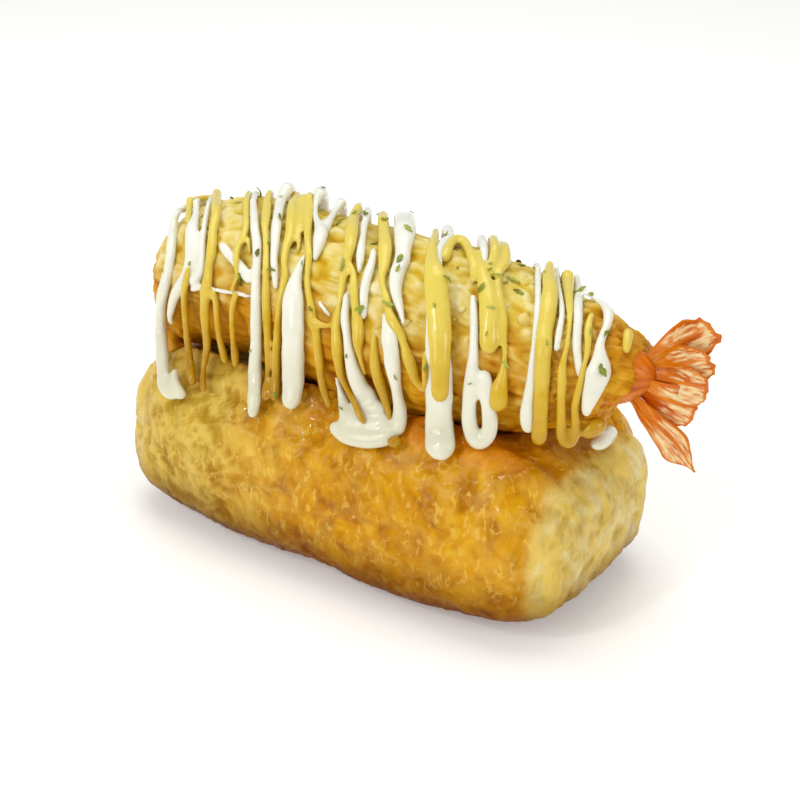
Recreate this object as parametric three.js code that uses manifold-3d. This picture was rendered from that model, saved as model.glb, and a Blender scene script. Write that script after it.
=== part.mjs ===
// Inari sushi: a simmered tofu pouch, with a battered and fried prawn lying in its mouth,
// striped with mayonnaise and mustard sauce and sprinkled with dried parsley.
// Millimetres, +Z up. The pouch rests on Z = 0 round the origin, +X points to the prawn's
// tail, and -Y is the front, where the sauces hang lowest.
import * as THREE from "three";
import { mergeVertices } from "three/addons/utils/BufferGeometryUtils.js";
import Module from "manifold-3d";

const wasm = await Module();
wasm.setup();

// Driving dimensions
const clearance = 0.3; // between two solids that touch in the real food
const pouch = {
  length: 75,
  width: 36.7,
  height: 26.6,
  planPower: 4.9, // squareness seen from above
  sidePower: 3.6, // squareness seen from the side
  topNarrowing: 0.025, // share by which the mouth is shorter than the middle
  flatHeight: 0.7, // how much of the rounded underside rests flat
  lump: 0.6, // soft unevenness of the simmered skin
  lumpSize: 8,
  crease: 0.9, // depth of the folds where the long sides turn into the ends
  lip: 2.0, // how far the skin rises where it lies against the coat
};
const coat = {
  middle: 0.5,
  halfLength: 37.2,
  axisHeight: 34.6,
  axisRise: 0.022, // per millimetre towards the tail
  radius: 11.7,
  widthRatio: 1.12,
  tailNarrowing: 2.3, // how much slimmer it is towards the tail
  headBluntness: 6.5,
  tailBluntness: 5,
  crag: 1.5,
  cragSize: 5.2,
  ledge: 1.9, // depth of the hollow under the ledge at the front, near the head
  ledgeFrom: -26,
  ledgeTo: -14.5,
};
const prawn = {
  headX: -27,
  tailX: 42.6,
  headRadius: 6.2,
  tailRadius: 4.4,
  tailRise: 1.1, // how far the tail end curves up from the coat's axis
  finThickness: 0.9,
};
const bead = {
  step: 5.2, // distance between rings along a strand
  sides: 5,
  shoulderStart: 29, // heights between which a hanging strand moves out over the pouch
  shoulderEnd: 21.5,
  sunk: 0.42, // share of the radius that a strand sinks into what carries it
  flatness: 0.86, // height of a strand's section against its width
};
const flake = { count: 12, size: 1.7, thickness: 0.7 };

// One strand for each row: where it crosses the crown, the front brow, the front waist and
// its front foot along X, how high the foot ends, its radius, and whether it turns at the
// foot into the next row. Every strand turns behind into a neighbour as well.
const mayonnaiseStrands = [
  { crown: -33.2, brow: -31.7, waist: -31.4, foot: -29.2, end: 22.0, radius: 1.15 },
  { crown: -31.2, brow: -27.3, waist: -27.6, foot: -29.6, end: 29.5, radius: 1.25 },
  { crown: -21.6, brow: -14.8, waist: -12.5, foot: -11.2, end: 22.6, radius: 1.15 },
  { crown: -17.6, brow: -12.0, waist: -6.6, foot: -5.6, end: 24.0, radius: 1.3, turns: true },
  { crown: -10.6, brow: -6.3, waist: -4.9, foot: -4.2, end: 24.4, radius: 1.3 },
  { crown: -3.0, brow: 1.7, waist: 4.4, foot: 6.6, end: 24.0, radius: 1.15 },
  { crown: 0.4, brow: 3.4, waist: 5.8, foot: 9.0, end: 24.0, radius: 1.05 },
  { crown: 4.3, brow: 7.9, waist: 10.2, foot: 11.8, end: 23.4, radius: 1.5 },
  { crown: 10.2, brow: 14.9, waist: 17.4, foot: 18.8, end: 24.2, radius: 1.35, turns: true },
  { crown: 13.0, brow: 16.8, waist: 18.9, foot: 20.4, end: 24.2, radius: 1.35 },
  { crown: 14.6, brow: 19.6, waist: 21.0, foot: 21.7, end: 27.4, radius: 1.35, turns: true },
  { crown: 19.0, brow: 23.2, waist: 24.8, foot: 25.6, end: 27.4, radius: 1.3 },
  { crown: 24.6, brow: 28.9, waist: 29.7, foot: 29.6, end: 28.0, radius: 1.15 },
  { crown: 29.4, brow: 33.0, waist: 34.1, foot: 34.4, end: 29.5, radius: 1.3, turns: true },
  { crown: 33.4, brow: 35.2, waist: 35.9, foot: 36.2, end: 29.5, radius: 1.05 },
];
const mustardStrands = [
  { crown: -31.6, brow: -27.4, waist: -25.3, foot: -23.2, end: 23.0, radius: 0.9 },
  { crown: -28.4, brow: -22.4, waist: -21.6, foot: -20.4, end: 24.0, radius: 1.0 },
  { crown: -19.2, brow: -12.9, waist: -9.9, foot: -9.4, end: 25.2, radius: 0.9, turns: true },
  { crown: -15.2, brow: -9.8, waist: -8.3, foot: -8.0, end: 25.2, radius: 0.9 },
  { crown: -12.2, brow: -6.4, waist: -1.8, foot: 0.3, end: 25.5, radius: 0.95 },
  { crown: -4.6, brow: -0.4, waist: 1.4, foot: 5.2, end: 24.8, radius: 1.0 },
  { crown: 1.2, brow: 5.8, waist: 13.6, foot: 15.4, end: 32.0, radius: 0.95 },
  { crown: 8.9, brow: 14.5, waist: 17.4, foot: 18.4, end: 31.6, radius: 1.1, turns: true },
  { crown: 14.4, brow: 16.8, waist: 18.8, foot: 19.5, end: 31.6, radius: 1.0 },
  { crown: 17.6, brow: 22.4, waist: 23.8, foot: 24.0, end: 36.8, radius: 1.4 },
  { crown: 19.6, brow: 24.7, waist: 26.2, foot: 26.0, end: 31.2, radius: 1.15 },
  { crown: 26.4, brow: 30.4, waist: 31.3, foot: 31.1, end: 27.4, radius: 1.15 },
  { crown: 29.6, brow: 32.8, waist: 33.7, foot: 33.7, end: 27.6, radius: 0.9, turns: true },
  { crown: 32.6, brow: 35.3, waist: 35.4, foot: 35.2, end: 27.6, radius: 0.9 },
];

// Fins of the tail: where the root lies, how it points in the XZ plane, and its size
const fins = [
  { x: 40.0, y: 0.6, z: 37.3, angle: 43, length: 12.8, halfWidth: 2.5, tip: 0.5, lean: 6 },
  { x: 40.2, y: 0.3, z: 37.0, angle: 24, length: 10.4, halfWidth: 2.7, tip: 0.5, lean: 2 },
  { x: 40.2, y: -0.4, z: 36.6, angle: 5, length: 9.4, halfWidth: 2.7, tip: 0.4, lean: -6 },
  { x: 40.0, y: -0.9, z: 36.0, angle: -17, length: 8.2, halfWidth: 2.8, tip: 0.5, lean: -4 },
  { x: 38.8, y: -1.5, z: 35.2, angle: -41, length: 13.8, halfWidth: 2.3, tip: 0.18, lean: 8 },
];

const degrees = Math.PI / 180;
const lerp = THREE.MathUtils.lerp;
const smoothstep = THREE.MathUtils.smoothstep;

// Smooth random field with lumps one unit across, from 0 to 1
function lumps(x, y, z) {
  const cell = (i, j, k) => {
    const s = Math.sin(i * 127.1 + j * 311.7 + k * 74.7) * 43758.5453;
    return s - Math.floor(s);
  };
  const [i, j, k] = [Math.floor(x), Math.floor(y), Math.floor(z)];
  const [u, v, w] = [x - i, y - j, z - k].map((t) => t * t * (3 - 2 * t));
  const row = (dj, dk) => lerp(cell(i, j + dj, k + dk), cell(i + 1, j + dj, k + dk), u);
  return lerp(lerp(row(0, 0), row(1, 0), v), lerp(row(0, 1), row(1, 1), v), w);
}

// Closed mesh as a manifold-3d solid, with its faces turned outwards
function solidOf(geometry) {
  const triVerts = new Uint32Array(geometry.index.array);
  const vertProperties = geometry.attributes.position.array;
  const make = () => new wasm.Manifold(new wasm.Mesh({ numProp: 3, vertProperties, triVerts }));
  const solid = make();
  if (solid.volume() > 0) return solid;
  for (let i = 0; i < triVerts.length; i += 3) {
    [triVerts[i + 1], triVerts[i + 2]] = [triVerts[i + 2], triVerts[i + 1]];
  }
  return make();
}

function geometryOf(solid) {
  const mesh = solid.getMesh();
  const geometry = new THREE.BufferGeometry();
  geometry.setAttribute("position", new THREE.BufferAttribute(mesh.vertProperties, 3));
  geometry.setIndex(new THREE.BufferAttribute(mesh.triVerts, 1));
  geometry.computeVertexNormals();
  return geometry;
}

// Geometry with shared vertices, each moved to the place that a function gives
function reshape(source, place) {
  source.deleteAttribute("normal");
  source.deleteAttribute("uv");
  const geometry = mergeVertices(source, 1e-5);
  const position = geometry.attributes.position;
  const vertex = new THREE.Vector3();
  for (let i = 0; i < position.count; i += 1) {
    vertex.fromBufferAttribute(position, i);
    place(vertex);
    position.setXYZ(i, vertex.x, vertex.y, vertex.z);
  }
  return geometry;
}

// The largest connected piece, without loose scraps
function largest(solid) {
  return solid.decompose().sort((a, b) => b.volume() - a.volume())[0];
}

// Pouch

function pouchLengthScale(z) {
  return 1 - pouch.topNarrowing * smoothstep(z, pouch.height * 0.45, pouch.height);
}

// Half width of the pouch at a place along it and a height, 0 where it has ended
function pouchHalfWidth(x, z) {
  const across = 1 - Math.abs((2 * z) / pouch.height - 1) ** pouch.sidePower;
  if (across <= 0) return 0;
  const along = Math.abs((2 * x) / pouch.length / pouchLengthScale(z)) ** pouch.planPower;
  const left = across ** (pouch.planPower / pouch.sidePower) - along;
  return left > 0 ? (pouch.width / 2) * left ** (1 / pouch.planPower) : 0;
}

// How far the simmered skin stands out or in at a point
function pouchRelief(p) {
  const size = pouch.lumpSize;
  const lump = lumps(p.x / size + 3, p.y / size + 7, p.z / size + 5) - 0.5;
  const foldPlace = Math.abs(Math.abs(p.x) - pouch.length * 0.445);
  const fold = Math.exp(-((foldPlace / 1.6) ** 2)) * smoothstep(Math.abs(p.y), 9, 15);
  const lip = Math.exp(-(((Math.abs(p.y) - 11.2) / 2.8) ** 2)) * smoothstep(p.z, 20, 26);
  const fade = 1 - smoothstep(Math.abs(p.x), 30, 36);
  return pouch.lump * 2 * lump - pouch.crease * fold * smoothstep(p.z, 4, 20) + pouch.lip * lip * fade;
}

function pouchBody(extra) {
  const half = new THREE.Vector3(pouch.length / 2, pouch.width / 2, pouch.height / 2);
  const { planPower, sidePower } = pouch;
  const even = (t) => Math.tan((t * Math.PI) / 4);
  const geometry = reshape(new THREE.BoxGeometry(2, 2, 2, 26, 11, 9), (p) => {
    p.set(even(p.x), even(p.y), even(p.z));
    const plan = Math.abs(p.x) ** planPower + Math.abs(p.y) ** planPower;
    const reach = (plan ** (sidePower / planPower) + Math.abs(p.z) ** sidePower) ** (-1 / sidePower);
    p.multiplyScalar(reach);
    const inPlan = Math.abs(p.x) ** planPower + Math.abs(p.y) ** planPower;
    const edge = Math.max(inPlan, 1e-6) ** (sidePower / planPower - 1);
    const normal = new THREE.Vector3(
      (Math.sign(p.x) * edge * Math.abs(p.x) ** (planPower - 1)) / half.x,
      (Math.sign(p.y) * edge * Math.abs(p.y) ** (planPower - 1)) / half.y,
      (Math.sign(p.z) * Math.abs(p.z) ** (sidePower - 1)) / half.z,
    ).normalize();
    p.multiply(half);
    p.z += half.z;
    p.x *= pouchLengthScale(p.z);
    p.addScaledVector(normal, pouchRelief(p) + extra);
    p.z = Math.max(p.z, pouch.flatHeight) - pouch.flatHeight;
  });
  return solidOf(geometry);
}

// Batter coat

function coatAxis(x) {
  return coat.axisHeight + coat.axisRise * x;
}

function coatRadius(x) {
  const t = Math.abs(x - coat.middle) / coat.halfLength;
  const slim = coat.tailNarrowing * smoothstep(x, 8, coat.halfLength);
  const bluntness = x < coat.middle ? coat.headBluntness : coat.tailBluntness;
  return t >= 1 ? 0 : (coat.radius - slim) * (1 - t ** bluntness) ** 0.42;
}

function coatRelief(p, angle) {
  const size = coat.cragSize;
  const crag = lumps(p.x / size + 11, p.y / size + 2, p.z / size + 4) - 0.5;
  const inLedge = smoothstep(p.x, coat.ledgeFrom - 2, coat.ledgeFrom + 1);
  const outLedge = 1 - smoothstep(p.x, coat.ledgeTo - 1, coat.ledgeTo + 2);
  const below = p.y < 0 ? smoothstep(-angle, -20 * degrees, 5 * degrees) : 0;
  return coat.crag * crag - coat.ledge * inLedge * outLedge * below;
}

function coatBody(extra) {
  const geometry = reshape(new THREE.SphereGeometry(1, 18, 20), (p) => {
    const polar = Math.acos(THREE.MathUtils.clamp(p.y, -1, 1));
    const along = Math.sign(Math.cos(polar)) * Math.abs(Math.cos(polar)) ** 0.62;
    const turn = Math.atan2(p.x, p.z);
    const x = coat.middle - coat.halfLength * 0.9999 * along;
    const radius = Math.sin(polar) < 1e-6 ? 0 : coatRadius(x);
    p.set(x, coat.widthRatio * radius * Math.cos(turn), coatAxis(x) + radius * Math.sin(turn));
    const angle = Math.atan2(p.z - coatAxis(x), Math.abs(p.y));
    const swell = radius > 0 ? 1 + (coatRelief(p, angle) + extra) / radius : 1;
    p.y *= swell;
    p.z = coatAxis(x) + (p.z - coatAxis(x)) * swell;
  });
  return solidOf(geometry);
}

// Sauce strands

// How far out a hanging strand is: straight down from the coat at its widest, then out over
// the shoulder of the pouch
function hangWidth(x, z) {
  const batter = coat.widthRatio * Math.max(coatRadius(x), 2.5);
  const shoulder = Math.max(batter, pouchHalfWidth(x, bead.shoulderEnd) + clearance);
  const share = 1 - smoothstep(z, bead.shoulderEnd, bead.shoulderStart);
  return lerp(batter, shoulder, share);
}

// Point and outward direction on the front (side -1) or back (side 1), a distance down from the crown
function drapePoint(x, side, down) {
  const radius = Math.max(coatRadius(x), 2.5);
  const quarter = radius * 1.06 * (Math.PI / 2);
  if (down < quarter) {
    const angle = (1 - down / quarter) * (Math.PI / 2);
    const out = new THREE.Vector3(0, (side * Math.cos(angle)) / coat.widthRatio, Math.sin(angle));
    const y = side * coat.widthRatio * radius * Math.cos(angle);
    return [new THREE.Vector3(x, y, coatAxis(x) + radius * Math.sin(angle)), out.normalize()];
  }
  const z = coatAxis(x) - (down - quarter);
  return [new THREE.Vector3(x, side * hangWidth(x, z), z), new THREE.Vector3(0, side, 0)];
}

// Distance down from the crown at which a hanging strand reaches a height
function dropTo(x, height) {
  const radius = Math.max(coatRadius(x), 2.5);
  return radius * 1.06 * (Math.PI / 2) + coatAxis(x) - height;
}

// Lateral place along a strand, eased through its four stations; share runs from crown to foot
function acrossFront(strand, share) {
  const stations = [strand.crown, strand.brow, strand.waist, strand.foot];
  const places = [0, 0.3, 0.55, 1];
  const next = Math.max(1, places.findIndex((place) => place >= share));
  const t = (share - places[next - 1]) / (places[next] - places[next - 1]);
  return lerp(stations[next - 1], stations[next], smoothstep(t, 0, 1) * 0.5 + t * 0.5);
}

// Where a strand ends behind, a little towards the head, as the bottle moved to and fro
function backFoot(strand, index) {
  return { x: strand.crown - 4.5 + 1.5 * Math.sin(index * 2.4), end: 39 - 3 * Math.sin(index * 1.7) ** 2 };
}

// Line of one strand from its back foot over the crown to its front foot
function strandLine(strand, index) {
  const back = backFoot(strand, index);
  const line = [];
  const samples = 24;
  const backDrop = dropTo(back.x, back.end);
  for (let i = samples; i > 0; i -= 1) {
    const share = i / samples;
    const x = lerp(strand.crown, back.x, share);
    line.push(drapePoint(x, 1, backDrop * share));
  }
  const frontDrop = dropTo(strand.foot, strand.end);
  for (let i = 0; i <= samples; i += 1) {
    const share = i / samples;
    line.push(drapePoint(acrossFront(strand, share), -1, frontDrop * share));
  }
  return line.map(([point, out]) => ({
    point: point.addScaledVector(out, strand.radius * (1 - bead.sunk)),
    out,
    radius: strand.radius,
  }));
}

// Half circle below two feet that joins one strand to the next
function turnBetween(first, second) {
  const samples = 6;
  const middle = first.point.clone().add(second.point).multiplyScalar(0.5);
  const half = first.point.clone().sub(middle);
  const turn = [];
  for (let i = 1; i < samples; i += 1) {
    const angle = (i / samples) * Math.PI;
    const point = middle.clone().addScaledVector(half, Math.cos(angle));
    point.z -= half.length() * Math.sin(angle);
    turn.push({ point, out: first.out, radius: lerp(first.radius, second.radius, i / samples) });
  }
  return turn;
}

// Runs of strands that turn into each other at the front or behind
function sauceRuns(strands) {
  const runs = [];
  let run = [];
  let towardsFront = true;
  strands.forEach((strand, index) => {
    const line = strandLine(strand, index);
    if (!towardsFront) line.reverse();
    if (run.length) run.push(...turnBetween(run[run.length - 1], line[0]));
    run.push(...line);
    const goesOn = towardsFront ? strand.turns : index % 2 === 1 && index < strands.length - 1;
    if (goesOn) {
      towardsFront = !towardsFront;
    } else {
      runs.push(run);
      run = [];
      towardsFront = true;
    }
  });
  return runs.filter((each) => each.length);
}

// Rounded bead along a run, its section flattened against what carries it
function beadAlong(run) {
  const lengths = [0];
  run.forEach(({ point }, i) => {
    if (i) lengths.push(lengths[i - 1] + point.distanceTo(run[i - 1].point));
  });
  const total = lengths[lengths.length - 1];
  const at = (distance) => {
    const next = Math.max(1, lengths.findIndex((length) => length >= distance - 1e-9));
    const t = (distance - lengths[next - 1]) / (lengths[next] - lengths[next - 1]);
    const [a, b] = [run[next - 1], run[next]];
    return {
      point: a.point.clone().lerp(b.point, t),
      along: b.point.clone().sub(a.point).normalize(),
      out: a.out.clone().lerp(b.out, t),
      radius: lerp(a.radius, b.radius, t),
    };
  };
  const rings = Math.max(6, Math.round(total / bead.step) + 2);
  const cap = 0.6 * run[0].radius;
  const placeOf = (ring) => {
    if (ring === 0 || ring === rings) return ring ? total : 0;
    return lerp(cap, total - cap, (ring - 1) / (rings - 2));
  };
  const geometry = reshape(new THREE.CylinderGeometry(1, 1, 2, bead.sides, rings), (p) => {
    const place = placeOf(Math.round(((1 + p.y) / 2) * rings));
    const { point, along, out, radius } = at(place);
    const across = new THREE.Vector3().crossVectors(along, out).normalize();
    const lift = new THREE.Vector3().crossVectors(across, along).normalize();
    const toEnd = Math.min(place, total - place);
    const round = Math.sqrt(1 - (1 - Math.min(1, toEnd / radius + 0.2)) ** 2);
    const uneven = 1 + 0.12 * Math.sin(point.z * 0.55 + point.x * 0.8);
    p.copy(
      point
        .addScaledVector(across, p.x * radius * round * uneven)
        .addScaledVector(lift, p.z * radius * round * uneven * bead.flatness),
    );
  });
  return solidOf(geometry);
}

// Parsley flakes: bent chips sown over the crown and the front by a seeded rule
function flakes() {
  let seed = 7;
  const random = () => {
    seed = (seed * 16807) % 2147483647;
    return seed / 2147483647;
  };
  return Array.from({ length: flake.count }, (_, i) => {
    const x = lerp(-32, 33, (i + 0.2 + 0.6 * random()) / flake.count);
    const side = random() < 0.7 ? -1 : 1;
    const [point, out] = drapePoint(x, side, lerp(2, 15, random()));
    const size = flake.size * lerp(0.8, 1.3, random());
    const chip = reshape(new THREE.BoxGeometry(size, size * 0.55, flake.thickness), (p) => {
      p.z -= 0.25 * (p.x / size) ** 2;
    });
    const turn = new THREE.Quaternion().setFromUnitVectors(new THREE.Vector3(0, 0, 1), out);
    chip.rotateZ(random() * Math.PI);
    chip.applyQuaternion(turn);
    point.addScaledVector(out, 1.0);
    chip.translate(point.x, point.y, point.z);
    return solidOf(chip);
  });
}

// Prawn inside the coat, with its last shell segment and tail fan outside

function prawnBody(extra) {
  const geometry = reshape(new THREE.SphereGeometry(1, 10, 11), (p) => {
    const polar = Math.acos(THREE.MathUtils.clamp(p.y, -1, 1));
    const turn = Math.atan2(p.x, p.z);
    const share = (1 - Math.sign(Math.cos(polar)) * Math.abs(Math.cos(polar)) ** 0.75) / 2;
    const x = lerp(prawn.headX - extra, prawn.tailX + extra, share);
    const radius = lerp(prawn.headRadius, prawn.tailRadius, share) * Math.sin(polar) ** 0.6;
    const reach = Math.sin(polar) < 1e-6 ? 0 : radius + extra;
    const axis = coatAxis(x) + prawn.tailRise * smoothstep(x, 24, prawn.tailX);
    p.set(x, reach * Math.cos(turn), axis + reach * Math.sin(turn));
  });
  return solidOf(geometry);
}

function finBlade(fin, extra) {
  const width = (u) => {
    const opening = Math.sin(Math.min(1, u * 1.35 + 0.12) * Math.PI * 0.5);
    return fin.halfWidth * opening * (1 - (1 - fin.tip) * smoothstep(u, 0.62, 1));
  };
  const blade = reshape(new THREE.BoxGeometry(1, 2, 2, 7, 3, 1), (p) => {
    const u = p.x + 0.5;
    const ripple = 0.35 * Math.sin(u * 7 + fin.angle) * p.y + 0.25 * Math.cos(u * 5 + fin.angle);
    const thin = (prawn.finThickness / 2) * (1 - 0.35 * Math.abs(p.y)) + extra;
    const notch = u > 0.99 ? 0.5 * Math.cos(p.y * Math.PI * 2) : 0;
    p.set(u * fin.length - notch, ripple + p.z * thin, p.y * (width(u) + extra));
  });
  blade.rotateX(fin.lean * degrees);
  blade.rotateY(-fin.angle * degrees);
  blade.translate(fin.x, fin.y, fin.z);
  return solidOf(blade);
}

function material(color, roughness) {
  return new THREE.MeshStandardMaterial({ color, roughness, metalness: 0 });
}

function piece(name, solid, finish) {
  const mesh = new THREE.Mesh(geometryOf(solid), finish);
  mesh.name = name;
  return mesh;
}

// The prawn with its tail, grown by the given distance where a cavity is cut for it
function wholePrawn(extra) {
  return wasm.Manifold.union([prawnBody(extra), ...fins.map((fin) => finBlade(fin, extra))]);
}

const sauces = [...sauceRuns(mayonnaiseStrands), ...sauceRuns(mustardStrands)].map(beadAlong);
const clearSauces = wasm.Manifold.union(sauces).subtract(pouchBody(clearance));
const topping = wasm.Manifold.union([coatBody(0), clearSauces, ...flakes()]);
const toppingSolid = largest(topping.subtract(wholePrawn(clearance)));
const pouchSolid = largest(pouchBody(0).subtract(coatBody(clearance)));
const prawnSolid = wholePrawn(0);

const sushi = new THREE.Group();
sushi.add(
  piece("tofu_pouch", pouchSolid, material(0xd79a34, 0.5)),
  piece("tempura_prawn", toppingSolid, material(0xe8bf5e, 0.55)),
  piece("prawn", prawnSolid, material(0xe2661c, 0.4)),
);

export default sushi;
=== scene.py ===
import math
import bpy
import numpy as np
from mathutils import Matrix, Vector
from mathutils.bvhtree import BVHTree


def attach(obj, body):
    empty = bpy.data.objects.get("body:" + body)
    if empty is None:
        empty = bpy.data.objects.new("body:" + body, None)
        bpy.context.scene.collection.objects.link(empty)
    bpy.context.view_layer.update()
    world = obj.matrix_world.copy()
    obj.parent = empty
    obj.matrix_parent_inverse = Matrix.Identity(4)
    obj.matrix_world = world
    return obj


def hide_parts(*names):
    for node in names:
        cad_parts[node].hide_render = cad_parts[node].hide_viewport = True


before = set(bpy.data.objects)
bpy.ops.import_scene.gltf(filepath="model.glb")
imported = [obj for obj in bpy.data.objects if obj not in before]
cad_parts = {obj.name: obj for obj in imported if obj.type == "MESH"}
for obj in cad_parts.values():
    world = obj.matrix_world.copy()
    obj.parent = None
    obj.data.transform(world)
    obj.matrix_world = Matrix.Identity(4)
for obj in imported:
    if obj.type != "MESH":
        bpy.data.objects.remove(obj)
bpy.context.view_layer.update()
mm = 0.001
fullTurn = 6.28  # radians, for a random spin
print("frame loaded")


# Helpers


def toLinear(hexColour):
    channels = [int(hexColour[i:i + 2], 16) / 255 for i in (1, 3, 5)]
    return [c / 12.92 if c <= 0.04045 else ((c + 0.055) / 1.055) ** 2.4 for c in channels] + [1.0]


def smoothstep(x, low, high):
    t = np.clip((x - low) / (high - low), 0, 1)
    return t * t * (3 - 2 * t)


def mix(a, b, t):
    return a + (b - a) * t


def lumps(x, y, z):  # smooth random field with lumps one unit across, from 0 to 1, as the solids have
    def cell(i, j, k):
        s = np.sin(i * 127.1 + j * 311.7 + k * 74.7) * 43758.5453
        return s - np.floor(s)

    i, j, k = np.floor(x), np.floor(y), np.floor(z)
    u, v, w = [t * t * (3 - 2 * t) for t in (x - i, y - j, z - k)]
    rows = [[mix(cell(i, j + b, k + c), cell(i + 1, j + b, k + c), u) for b in (0, 1)] for c in (0, 1)]
    return mix(mix(rows[0][0], rows[0][1], v), mix(rows[1][0], rows[1][1], v), w)


def linkedObject(name, data):
    thing = bpy.data.objects.new(name, data)
    bpy.context.collection.objects.link(thing)
    return thing


def meshObject(name, points, faces):  # points in millimetres
    mesh = bpy.data.meshes.new(name)
    mesh.from_pydata((np.asarray(points) * mm).tolist(), [], [list(map(int, f)) for f in faces])
    mesh.validate()
    mesh.shade_smooth()
    return linkedObject(name, mesh)


def storeOnPoints(mesh, name, values):  # one number or one vector for each point
    values = np.asarray(values, float)
    kind, field = ("FLOAT", "value") if values.ndim == 1 else ("FLOAT_VECTOR", "vector")
    mesh.attributes.new(name, kind, "POINT").data.foreach_set(field, values.reshape(-1))


def gridQuads(index, flipped=False):  # faces of a grid of points, flipped ones the other way round
    quads = np.stack([index[:-1, :-1], index[:-1, 1:], index[1:, 1:], index[1:, :-1]], -1).reshape(-1, 4)
    return quads[:, [0, 3, 2, 1]] if flipped else quads


def closedRound(index):  # a grid whose last column joins its first one
    return np.concatenate([index, index[:, :1]], axis=1)


def sheetFaces(index):  # a grid, a second one beneath it whose points follow, and the walls between them
    quads, size = gridQuads(index), index.size
    rim = np.concatenate([index[0, :-1], index[:-1, -1], index[-1, :0:-1], index[:0:-1, 0]])
    beyond = np.roll(rim, -1)
    walls = np.stack([rim, rim + size, beyond + size, beyond], -1)
    return list(quads) + list(quads[:, ::-1] + size) + list(walls)


def socketOf(sockets, key):
    if isinstance(key, int):
        return sockets[key]
    return next(s for s in sockets if key in (s.identifier, s.name) and s.enabled)


# A settings key is a property of the node, "ramp" for the stops of a colour ramp, or one of its inputs
def addNode(tree, kind, settings=None, links=None):
    node = tree.nodes.new(kind)
    for key, value in (settings or {}).items():
        if key == "ramp":
            stops = node.color_ramp.elements
            while len(stops) < len(value):
                stops.new(0.5)
            for stop, (place, colour) in zip(stops, value):
                stop.position = place
                stop.color = toLinear(colour)
        elif isinstance(key, str) and hasattr(node, key):
            setattr(node, key, value)
        else:
            socketOf(node.inputs, key).default_value = value
    for key, source in (links or {}).items():
        tree.links.new(source, socketOf(node.inputs, key))
    return node


def newTree(name, inputs):  # inputs are the named sizes that a modifier sets, with their defaults
    tree = bpy.data.node_groups.new(name, "GeometryNodeTree")
    tree.interface.new_socket("Geometry", in_out="INPUT", socket_type="NodeSocketGeometry")
    for label, value in inputs.items():
        kind = "NodeSocketInt" if isinstance(value, int) else "NodeSocketFloat"
        tree.interface.new_socket(label, in_out="INPUT", socket_type=kind).default_value = value
    tree.interface.new_socket("Geometry", in_out="OUTPUT", socket_type="NodeSocketGeometry")
    return tree, addNode(tree, "NodeGroupInput").outputs


def endTree(tree, geometry, material):
    solid = addNode(tree, "GeometryNodeRealizeInstances", links={"Geometry": geometry})
    painted = addNode(tree, "GeometryNodeSetMaterial", {"Material": material}, {"Geometry": solid.outputs[0]})
    addNode(tree, "NodeGroupOutput", links={"Geometry": painted.outputs[0]})


def addTree(source, tree, values):
    modifier = source.modifiers.new(tree.name, "NODES")
    modifier.node_group = tree
    for item in tree.interface.items_tree:
        if item.in_out == "INPUT" and item.name in values:
            modifier[item.identifier] = values[item.name]


def settle(source, name):  # leaves the result of the modifiers as a plain mesh
    graph = bpy.context.evaluated_depsgraph_get()
    mesh = bpy.data.meshes.new_from_object(source.evaluated_get(graph), depsgraph=graph)
    mesh.name = name
    mesh.shade_smooth()
    bpy.data.objects.remove(source)
    piece = linkedObject(name, mesh)
    print(name, len(mesh.polygons), "faces")
    return piece


def carried(piece, node):  # rides on the one body and takes the place of a solid
    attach(piece, "root")
    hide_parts(node)
    return piece


def newMaterial(name):
    material = bpy.data.materials.new(name)
    material.use_nodes = True
    material.node_tree.nodes.clear()
    return material, material.node_tree


def endMaterial(tree, settings, links):
    shader = addNode(tree, "ShaderNodeBsdfPrincipled", settings, links)
    addNode(tree, "ShaderNodeOutputMaterial", links={"Surface": shader.outputs[0]})


# Forms that the solids have too, in millimetres

pouch = {
    "length": 75,
    "width": 36.7,
    "height": 26.6,
    "planPower": 4.9,
    "sidePower": 3.6,
    "topNarrowing": 0.025,
    "narrowsFrom": 0.45,  # share of the height
    "flatHeight": 0.7,
    "lump": 0.6,
    "lumpSize": 8,
    "lumpShift": (3, 7, 5),  # where the random field is read, as in the solids
    "crease": 0.9,
    "creaseAt": 0.445,  # share of the length
    "creaseWidth": 1.6,
    "creaseAcross": (9, 15),  # distances from the middle line between which it deepens
    "creaseUp": (4, 20),  # heights between which it deepens
    "lip": 2.0,
    "lipAt": 11.2,  # from the middle line
    "lipWidth": 2.8,
    "lipUp": (20, 26),
    "lipFade": (30, 36),  # distances from the middle between which it ends
    "ringDepth": 0.35,  # how far the round folds stand out
    "ringWidth": 0.45,
    "rings": [  # along, height and radius of the round folds in the front, in millimetres
        (-9.2, 16.6, 2.0), (4.1, 15.4, 1.5), (6.5, 11.2, 1.2), (14.5, 12.2, 1.4), (-17.5, 11.5, 1.5),
        (21.5, 8.0, 1.2), (-3.0, 9.5, 1.3)],
    "hollowFrom": 15,  # height above which the coat can lie in the pouch
    "hollowGap": 0.25,  # left between the two
    "cells": (190, 94, 68),  # faces along, across and up
}
coat = {
    "middle": 0.5,
    "halfLength": 37.2,
    "axisHeight": 34.6,
    "axisRise": 0.022,
    "radius": 11.7,
    "widthRatio": 1.12,
    "tailNarrowing": 2.3,
    "narrowsFrom": 8,
    "headBluntness": 6.5,
    "tailBluntness": 5,
    "endPower": 0.42,
    "crag": 1.5,
    "cragSize": 5.2,
    "cragShift": (11, 2, 4),
    "ledge": 1.9,
    "ledgeFrom": -26,
    "ledgeTo": -14.5,
    "ledgeAngle": 20,  # degrees below the coat's widest line
    "cells": (270, 250),  # faces along and around
    "endCrowding": 0.62,  # below 1 it draws the rows of faces towards the ends
}


def coatAxis(x):
    return coat["axisHeight"] + coat["axisRise"] * x


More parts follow.
